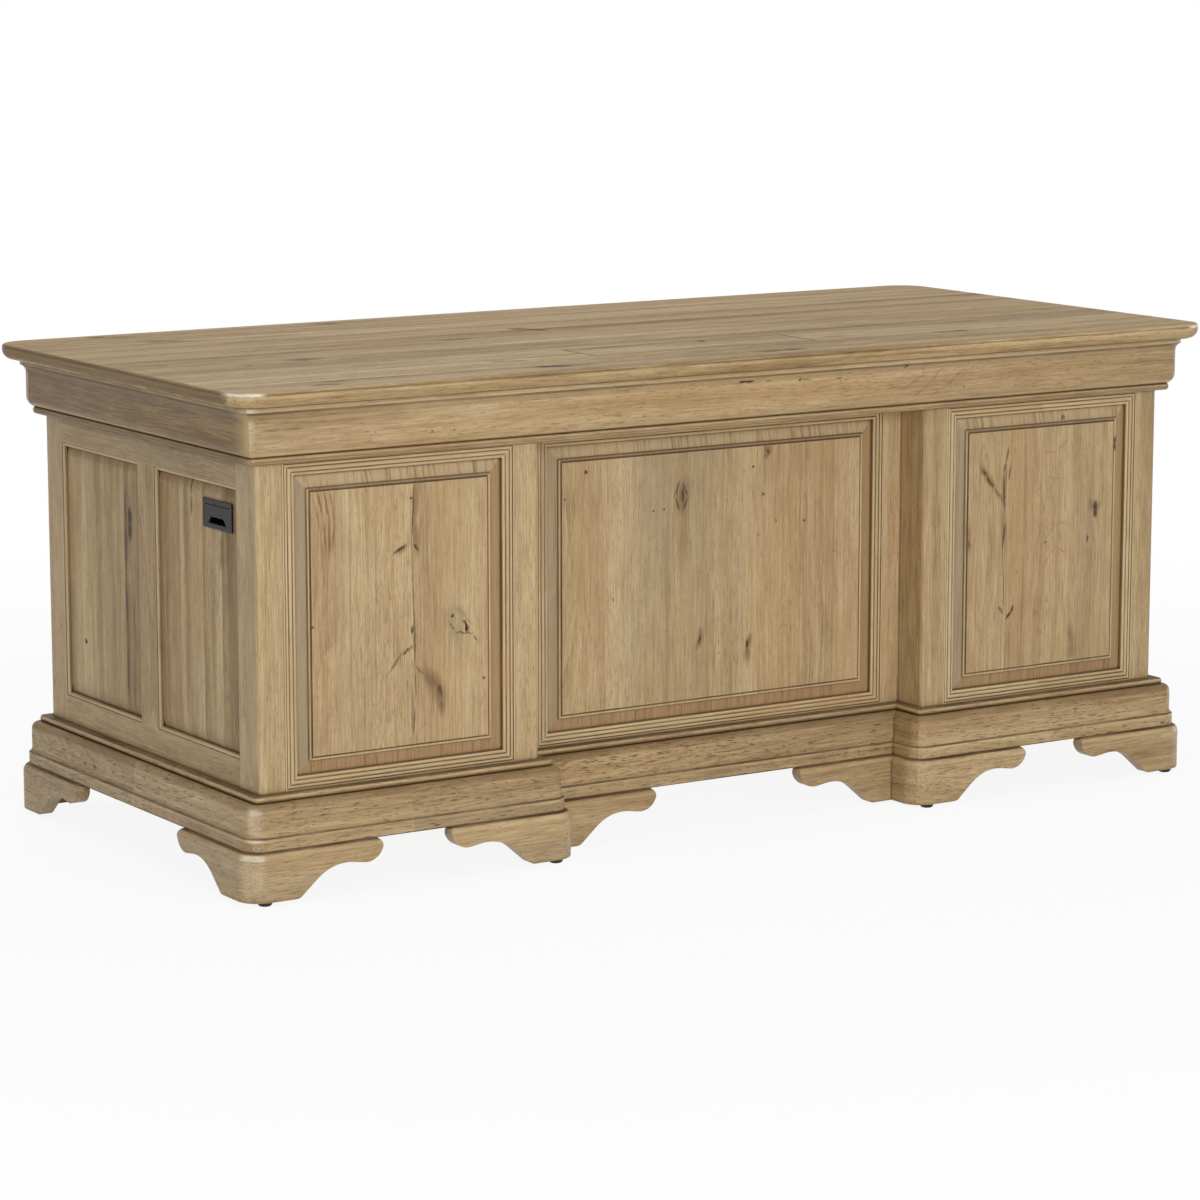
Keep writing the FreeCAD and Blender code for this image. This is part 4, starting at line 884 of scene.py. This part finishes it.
def lay_drawer_box(low, high, side):
    """Sides with the grain from front to back, back and bottom with the grain across. Boxes may be a
    mirrored pair."""
    middle = (low.x + high.x) / 2
    inner = (high.x - low.x) / 2 - side
    paired = low.x > 0.0

    def lay(tree, place):
        x, y, z = place.split()
        from_middle = (abs(x) if paired else x) - middle
        is_side = abs(from_middle).over(inner)
        grain = either(tree, is_side, combined(tree, x, y, z), combined(tree, y, z, x))
        return grain, is_side + from_middle.over(0.0) * is_side + x.over(0.0) * 3.0
    return lay


def lay_top(tree, place):
    """Boards along the desk, and the edge of the ends with the grain along it."""
    x, y, z = place.split()
    past_x = abs(x) - (top_high.x - TOP_RIM)
    past_y = abs(y) - (top_high.y - TOP_RIM)
    band = past_x.over(0.0) * (past_x - past_y).over(0.0)
    return either(tree, band, combined(tree, x, y, z), combined(tree, y, z, x)), band * 31.0


# Measures: distances on a piece, in metres, that lines are painted at.

def level(base):
    """Height above the lower edge of a piece."""
    def measure(tree, place):
        return place.split()[2] - base
    return measure


def frame_gap(low, high):
    """Distance in from the edge of a panel's frame, or of a mirrored pair of frames."""
    middle = (low + high) / 2
    half = (high - low) / 2
    paired = low.x > 0.0

    def measure(tree, place):
        x, y, z = place.split()
        gap_x = half.x - abs((abs(x) if paired else x) - middle.x)
        return gap_x.lower(half.z - abs(z - middle.z)) + y.over(low.y + PANEL_FACE)
    return measure


def end_gap(low, high, muntin):
    """Distance in from the edges of the two openings of an end."""
    middle_y = (high.y + muntin) / 2
    half_y = (high.y - muntin) / 2
    middle_z = (low.z + high.z) / 2
    half_z = (high.z - low.z) / 2

    def measure(tree, place):
        x, y, z = place.split()
        return (half_y - abs(abs(y) - middle_y)).lower(half_z - abs(z - middle_z))
    return measure


def within(distance, start, stop, soft):
    """1 where a distance is between two places in millimetres, with soft margins outside them."""
    begun = distance.smooth((start - soft) * MM, start * MM)
    return begun - distance.smooth(stop * MM, (stop + soft) * MM)


def at_corner(tree, place):
    """1 in the middle of the desk's round corners, 0 off them."""
    x, y, z = place.split()
    return (abs(x) - axis_x).smooth(*CORNER_GLINT_REACH) * (abs(y) - axis_half_y).smooth(*CORNER_GLINT_REACH)


# Paints: what goes over the wood's own colour.

def lined(measure, table, after=None, corner=()):
    """Glaze and painted shade in the hollows of a moulding, and wear and painted highlights on its
    crests, at set distances. Round corners may get painted glints too, and another paint may come after."""
    def paint(tree, place, color, fibre):
        distance = measure(tree, place)
        broken = fibre + noise(tree, place.scaled(BREAK_GRAIN)) * BREAK_SHARE + BREAK_MIDDLE
        for ink, start, stop, soft, strength in table:
            line = within(distance, start, stop, soft)
            color = tint(tree, color, linear(ink), line * broken * strength)
        # Painted glints: the corner tables whiten the middle of the round corners.
        if corner:
            broken = at_corner(tree, place) * broken
        for ink, start, stop, soft, strength in corner:
            line = within(distance, start, stop, soft)
            color = tint(tree, color, linear(ink), line * broken * strength)
        return after(tree, place, color, fibre) if after else color
    return paint


def end_fade(tree, place, color, fibre):
    """Painted light and shade round the front corner: the frieze end's darker tone, partly painted shade,
    fades to the front's middle tone where the end comes round the corner.
    """
    near = 1.0 - (place.split()[1] - frieze_low.y).smooth(*FRIEZE_FADE)
    return tint(tree, color, linear(OAK_MID), near * FRIEZE_FADE_SHARE)


def top_end(tree, place, color, fibre):
    """Painted shade on the edge of the top's ends, fading out at the front corner, and the lid's joint.
    """
    x, y, z = place.split()
    band = abs(x).over(top_high.x - TOP_RIM)
    fade = (y - top_low.y).smooth(*TOP_FADE)
    color = tint(tree, color, linear(TOP_END_SHADE), band * fade * TOP_FADE_SHARE)
    return lid_joint(tree, place, color, fibre)


def lid_joint(tree, place, color, fibre):
    """Glaze and painted shade of the gap along the joint between the top and its cable lid."""
    x, y, z = place.split()
    past_x = abs(x) - lid_high.x
    past_y = abs(y - (lid_low.y + lid_high.y) / 2) - (lid_high.y - lid_low.y) / 2
    gap = abs(past_x.higher(past_y))
    return tint(tree, color, linear(GLAZE_AND_SHADE), (1.0 - gap.smooth(*LID_JOINT)) * LID_JOINT_SHARE)


def bevels(low, high):
    """Bevels round a raised field, with painted light and shade by side over some difference in tone:
    lighter above, lighter and greyer at the left, darker at the right and below.
    """
    middle = (low + high) / 2
    half = (high - low) / 2

    def paint(tree, place, color, fibre):
        x, y, z = place.split()
        right = x - middle.x
        above = z - middle.z
        gap_x = half.x - abs(right)
        gap_z = half.z - abs(above)
        gap = gap_x.lower(gap_z)
        facing = 1.0 - y.over(low.y + PANEL_FACE)
        strip = (1.0 - gap.over(BEVEL_INNER)) * facing
        flat = (gap_x - gap_z).over(0.0)
        upper = above.over(0.0)
        rightmost = right.over(0.0)
        number = (x / BEVEL_PIECE).math("FLOOR") + flat * 7.0 + upper * 13.0
        segment = scatter(tree, number * BEVEL_STEP).split()[0]
        slant = combined(tree, z * TICK_SLANT, 0.0, 0.0)
        tick = noise(tree, place.scaled(TICK_GRAIN).moved(slant))
        thread = noise(tree, place.scaled(THREAD_GRAIN))
        wash = segment * BEVEL_PIECE_SHARE + tick * TICK_SHARE + fibre * BEVEL_FIBRE_SHARE
        # Painted light and shade by side: the upper bevel lit pale, the left one lit, the right and lower
        # ones shaded.
        shaded_sides = (1.0 - upper) * flat + (1.0 - flat) * rightmost
        pale = upper * flat
        lit_left = (1.0 - flat) * (1.0 - rightmost)
        layers = (
            (BEVEL_SHADED_BROWN, shaded_sides * 0.72),
            (BEVEL_LIT_PALE, pale * 0.6),
            (BEVEL_LIT_GREY, lit_left * 0.7),
            (BEVEL_FIBRE, wash.smooth(*BEVEL_WASH) * flat * 0.75),
            (BEVEL_FIBRE, thread.smooth(*BEVEL_THREAD) * (1.0 - flat) * 0.55),
        )
        band = color
        for ink, amount in layers:
            band = tint(tree, band, linear(ink), amount)
        color = tint(tree, color, band, strip)
        shade = within(gap, *BEAD_SHADOW) * pale * facing
        return tint(tree, color, linear(GLAZE_AND_SHADE), shade * BEAD_SHADOW_SHARE)
    return paint


# Other materials

def plastic(name):
    """Black moulded plastic with a fine spark texture."""
    material, tree, shader, place = new_material(name)
    spark = noise(tree, place.scaled((2600.0, 2600.0, 2600.0)))
    haze = noise(tree, place.scaled((60.0, 60.0, 60.0)))
    edge = occlusion(tree, 0.0012, True, 6)
    color = tint(tree, linear(PLASTIC_BLACK), linear(PLASTIC_HAZE), spark * 1.2 + haze * 0.9 + 0.4)
    color = tint(tree, color, linear(PLASTIC_EDGE), edge.smooth(0.15, 0.6) * 0.5)
    feed(tree, shader.inputs["Base Color"], color)
    feed(tree, shader.inputs["Roughness"], spark * 0.2 + haze * 0.15 + 0.42)
    shader.inputs["Specular IOR Level"].default_value = 0.3
    relief(tree, shader, spark, 0.25, 0.0001)
    return material


def steel(name):
    """Brushed steel, drawn along X."""
    material, tree, shader, place = new_material(name)
    brush = noise(tree, place.scaled((90.0, 5200.0, 5200.0)))
    color = tint(tree, linear(STEEL_DEEP), linear(STEEL_PALE), brush * 2.0 + 0.5)
    feed(tree, shader.inputs["Base Color"], color)
    feed(tree, shader.inputs["Roughness"], brush * 0.4 + 0.34)
    shader.inputs["Metallic"].default_value = 1.0
    return material


def dress(material, *names):
    """Give nodes their material."""
    for name in names:
        for slot in nodes[name].material_slots:
            slot.material = material


def even(places):
    """Joints between staves without a step in tone."""
    return tuple((place, 0.0) for place in places)


# Measures read from the frame
left_low, left_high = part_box("left_front_panel")
center_low, center_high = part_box("center_front_panel")
right_low, right_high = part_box("right_front_panel")
posts_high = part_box("pedestal_posts")[1]
wall_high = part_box("kneehole_sides")[1]
stile_low, stile_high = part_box("center_stiles")
end_low, end_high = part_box("left_end_panels")
upper_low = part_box("left_upper_drawer_front")[0]
top_low, top_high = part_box("top_board")
lid_low, lid_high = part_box("access_lid")
frieze_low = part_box("frieze_front")[0]
plinth_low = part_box("left_plinth")[0]
foot_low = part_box("left_outer_front_foot")[0]
pedestal_middle = (posts_high.x + wall_high.x) / 2
axis_half_x = (posts_high.x - stile_high.x) / 2 + CORNER_AXIS
axis_middle_x = (posts_high.x + stile_high.x) / 2
axis_half_y = posts_high.y + CORNER_AXIS
axis_x = posts_high.x + CORNER_AXIS
recess_y = stile_low.y - CORNER_AXIS

# Raised panels and the mouldings round them
for side, seed, heart, tone, seams, marks, low, high in (
        ("left", 11, -0.76, -0.17, LEFT_SEAMS, LEFT_MARKS, left_low, left_high),
        ("center", 23, -0.28, -0.06, CENTER_SEAMS, CENTER_MARKS, center_low, center_high),
        ("right", 37, 0.44, -0.04, RIGHT_SEAMS, RIGHT_MARKS, right_low, right_high)):
    dress(oak("oak_" + side + "_panel", Z_FRONT, seed, seams=seams, marks=marks, heart=heart, tone=tone,
              spread=0.03, dash=0.9, streaks=0.8,
              border=lined(frame_gap(low, high), FIELD_LINES, bevels(low, high))),
          side + "_front_panel")
dress(oak("oak_side_mouldings", lay_mitred_frame(right_low, right_high), 41, dash=0.6,
          border=lined(frame_gap(right_low, right_high), MOULDING_LINES)),
      "left_panel_moulding", "right_panel_moulding")
dress(oak("oak_center_moulding", lay_mitred_frame(center_low, center_high), 43, dash=0.6,
          border=lined(frame_gap(center_low, center_high), MOULDING_LINES)),
      "center_panel_moulding")

# Top and cable lid
dress(oak("oak_top", lay_top, 53, seams=even(TOP_SEAMS), marks=TOP_MARKS, heart=-0.37, tone=-0.05,
          spread=0.14, streaks=1.9, shine=0.04,
          border=lined(level(top_low.z), TOP_LINES, top_end, TOP_CORNER_GLINTS)),
      "top_board")
dress(oak("oak_lid", X_FLAT, 59, marks=LID_MARKS, heart=-0.26, tone=-0.05, streaks=1.9, shine=0.04,
          border=lid_joint),
      "access_lid")

# Frieze and uprights
dress(oak("oak_frieze", X_UPRIGHT, 61, marks=FRIEZE_MARKS, heart=0.63, dash=1.3, streaks=1.4, wear=0,
          border=lined(level(frieze_low.z), FRIEZE_LINES, corner=FRIEZE_CORNER_GLINTS)),
      "frieze_front")
# The frieze's ends are toned darker: partly darker wood, partly painted shade under the top's overhang.
dress(oak("oak_frieze_end", Y_UPRIGHT, 67, heart=0.66, tone=-0.45, shine=0.15, wear=0,
          border=lined(level(frieze_low.z), FRIEZE_LINES, end_fade, FRIEZE_CORNER_GLINTS)),
      "frieze_left", "frieze_right")
dress(oak("oak_posts", lay_posts, 71, heart=0.2), "pedestal_posts")
dress(oak("oak_stiles", lay_pairs((2, 0, 1)), 73, heart=0.1), "center_stiles")
dress(oak("oak_knee_walls", lay_pairs((2, 1, 0)), 79), "kneehole_sides")

# Ends
dress(oak("oak_end_frames", lay_end_frame(end_low.z, end_high.z), 83, tone=-0.05, shine=0.15),
      "left_end_frame", "right_end_frame")
dress(oak("oak_end_beads", lay_end_beads(end_low, end_high, MUNTIN_HALF), 89, dash=0.6,
          border=lined(end_gap(end_low, end_high, MUNTIN_HALF), END_BEAD_LINES)),
      "left_end_beads", "right_end_beads")
dress(oak("oak_left_end_panels", Z_END, 97, seams=even(LEFT_END_SEAMS), marks=END_MARKS, heart=-0.27,
          tone=-0.03, streaks=2.0, shine=0.12,
          border=lined(end_gap(end_low, end_high, MUNTIN_HALF), END_FIELD_LINES)),
      "left_end_panels")
dress(oak("oak_right_end_panels", Z_END, 101, seams=even(RIGHT_END_SEAMS), heart=-0.27, tone=-0.03,
          streaks=2.0, shine=0.12),
      "right_end_panels")

# Plinth and feet
pedestal_lay = lay_round_pedestal(axis_middle_x, axis_half_x, axis_half_y)
inner_lay = lay_round_pedestal(axis_middle_x, axis_half_x, axis_half_y, recess_y)
dress(oak("oak_plinth", pedestal_lay, 103, heart=0.08, tone=-0.11, dash=2.6, wear=0,
          border=lined(level(plinth_low.z), PLINTH_LINES, corner=PLINTH_CORNER_GLINTS)),
      "left_plinth", "right_plinth")
dress(oak("oak_center_plinth", X_UPRIGHT, 107, heart=0.09, tone=-0.11, dash=2.6, wear=0,
          border=lined(level(plinth_low.z), PLINTH_LINES)),
      "center_plinth")
dress(oak("oak_feet", pedestal_lay, 109, heart=0.02, tone=-0.05, dash=1.5, wear=0,
          border=lined(level(foot_low.z), FOOT_LINES, corner=FOOT_CORNER_GLINTS)),
      *(side + corner + "_foot" for side in ("left_", "right_")
        for corner in ("outer_front", "outer_rear", "inner_rear")))
dress(oak("oak_inner_feet", inner_lay, 113, heart=0.02, tone=-0.05, dash=1.5, wear=0,
          border=lined(level(foot_low.z), FOOT_LINES)),
      "left_inner_front_foot", "right_inner_front_foot")

# Drawers and the woodwork inside
dress(oak("oak_drawer_fronts", lay_drawer_fronts, 127, seams=((upper_low.z, 0.0),), heart=0.2),
      "left_upper_drawer_front", "right_upper_drawer_front",
      "left_file_drawer_front", "right_file_drawer_front", "drawer_rails")
dress(oak("oak_frieze_drawers", lay_drawer_fronts, 151, heart=0.63, dash=1.3, streaks=1.4, wear=0,
          border=lined(level(frieze_low.z), FRIEZE_LINES, corner=FRIEZE_CORNER_GLINTS)),
      "left_frieze_drawer_front", "center_frieze_drawer_front", "right_frieze_drawer_front")
dress(oak("oak_knobs", lay_pairs((1, 0, 2)), 131), *(
    side + kind + "_drawer_knob" for side in ("left_", "right_") for kind in ("upper", "file")))
dress(oak("oak_inside", X_FLAT, 137, tone=0.12, spread=0.1),
      "frieze_floor", "pedestal_bottoms", "foot_blocks", "center_soffit")
dress(oak("oak_inside_rails", lay_pairs((1, 2, 0)), 139, tone=0.12, spread=0.1),
      "frieze_dividers", "drawer_runners")
for kinds in (("right_upper", "left_upper", "right_file", "left_file"), ("right_frieze", "left_frieze"),
              ("center_frieze",)):
    low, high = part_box(kinds[0] + "_drawer_box")
    box_lay = lay_drawer_box(low, high, DRAWER_SIDE)
    dress(oak("oak_" + kinds[0] + "_boxes", box_lay, 149, tone=0.14, spread=0.1),
          *(kind + "_drawer_box" for kind in kinds))

# Plastic and steel
dress(plastic("black_plastic_moulded"), "outlet_bezel", "outlet_flap", "glides")
dress(steel("steel_brushed"), "lid_pins")


def place_in_scene(thing):
    bpy.context.scene.collection.objects.link(thing)


def build_floor():
    """Pale floor that takes soft shadows near the desk and is seen as white further off."""
    mesh = bpy.data.meshes.new("floor")
    corners = [(-FLOOR_REACH, -FLOOR_REACH, 0), (FLOOR_REACH, -FLOOR_REACH, 0),
               (FLOOR_REACH, FLOOR_REACH, 0), (-FLOOR_REACH, FLOOR_REACH, 0)]
    mesh.from_pydata(corners, [], [(0, 1, 2, 3)])
    floor = bpy.data.objects.new("floor", mesh)
    place_in_scene(floor)
    material = bpy.data.materials.new("floor_white")
    material.use_nodes = True
    tree = material.node_tree
    tree.nodes.remove(tree.nodes["Principled BSDF"])
    diffuse = tree.nodes.new("ShaderNodeBsdfDiffuse")
    diffuse.inputs["Color"].default_value = FLOOR_COLOR
    white = tree.nodes.new("ShaderNodeEmission")
    rays = tree.nodes.new("ShaderNodeLightPath")
    place = tree.nodes.new("ShaderNodeTexCoord")
    distance = Point(tree, place.outputs["Object"]).length()
    seen = Signal(tree, rays.outputs["Is Camera Ray"]).higher(Signal(tree, rays.outputs["Is Glossy Ray"]))
    share = seen * (distance.smooth(*FLOOR_RISE) * (1.0 - FLOOR_WHITE) + FLOOR_WHITE)
    mix = tree.nodes.new("ShaderNodeMixShader")
    feed(tree, mix.inputs["Fac"], share)
    tree.links.new(diffuse.outputs[0], mix.inputs[1])
    tree.links.new(white.outputs[0], mix.inputs[2])
    tree.links.new(mix.outputs[0], tree.nodes["Material Output"].inputs["Surface"])
    mesh.materials.append(material)


def build_sky():
    """White surroundings, which light the desk less than they show."""
    world = bpy.data.worlds.new("studio")
    bpy.context.scene.world = world
    world.use_nodes = True
    tree = world.node_tree
    rays = tree.nodes.new("ShaderNodeLightPath")
    seen = Signal(tree, rays.outputs["Is Camera Ray"])
    background = tree.nodes["Background"]
    background.inputs["Color"].default_value = (1.0, 1.0, 1.0, 1.0)
    feed(tree, background.inputs["Strength"], seen * (1.0 - SKY) + SKY)


def build_lamps():
    """Soft rectangular lamps."""
    for name, place, aim, size, power in LAMPS:
        data = bpy.data.lights.new(name, "AREA")
        data.shape = "RECTANGLE"
        data.size = size[0]
        data.size_y = size[1]
        data.energy = power
        lamp = bpy.data.objects.new(name, data)
        lamp.location = place
        lamp.rotation_euler = (Vector(aim) - Vector(place)).to_track_quat("-Z", "Y").to_euler()
        place_in_scene(lamp)


def build_camera():
    """The photograph's view."""
    data = bpy.data.cameras.new("camera")
    data.lens = CAMERA_LENS
    data.clip_end = CAMERA_FAR
    camera = bpy.data.objects.new("camera", data)
    camera.location = CAMERA_PLACE
    camera.rotation_euler = (math.radians(90.0 - CAMERA_PITCH), 0.0, math.radians(CAMERA_YAW))
    place_in_scene(camera)
    bpy.context.scene.camera = camera
    bpy.context.scene.view_settings.view_transform = "Standard"


build_floor()
build_sky()
build_lamps()
build_camera()
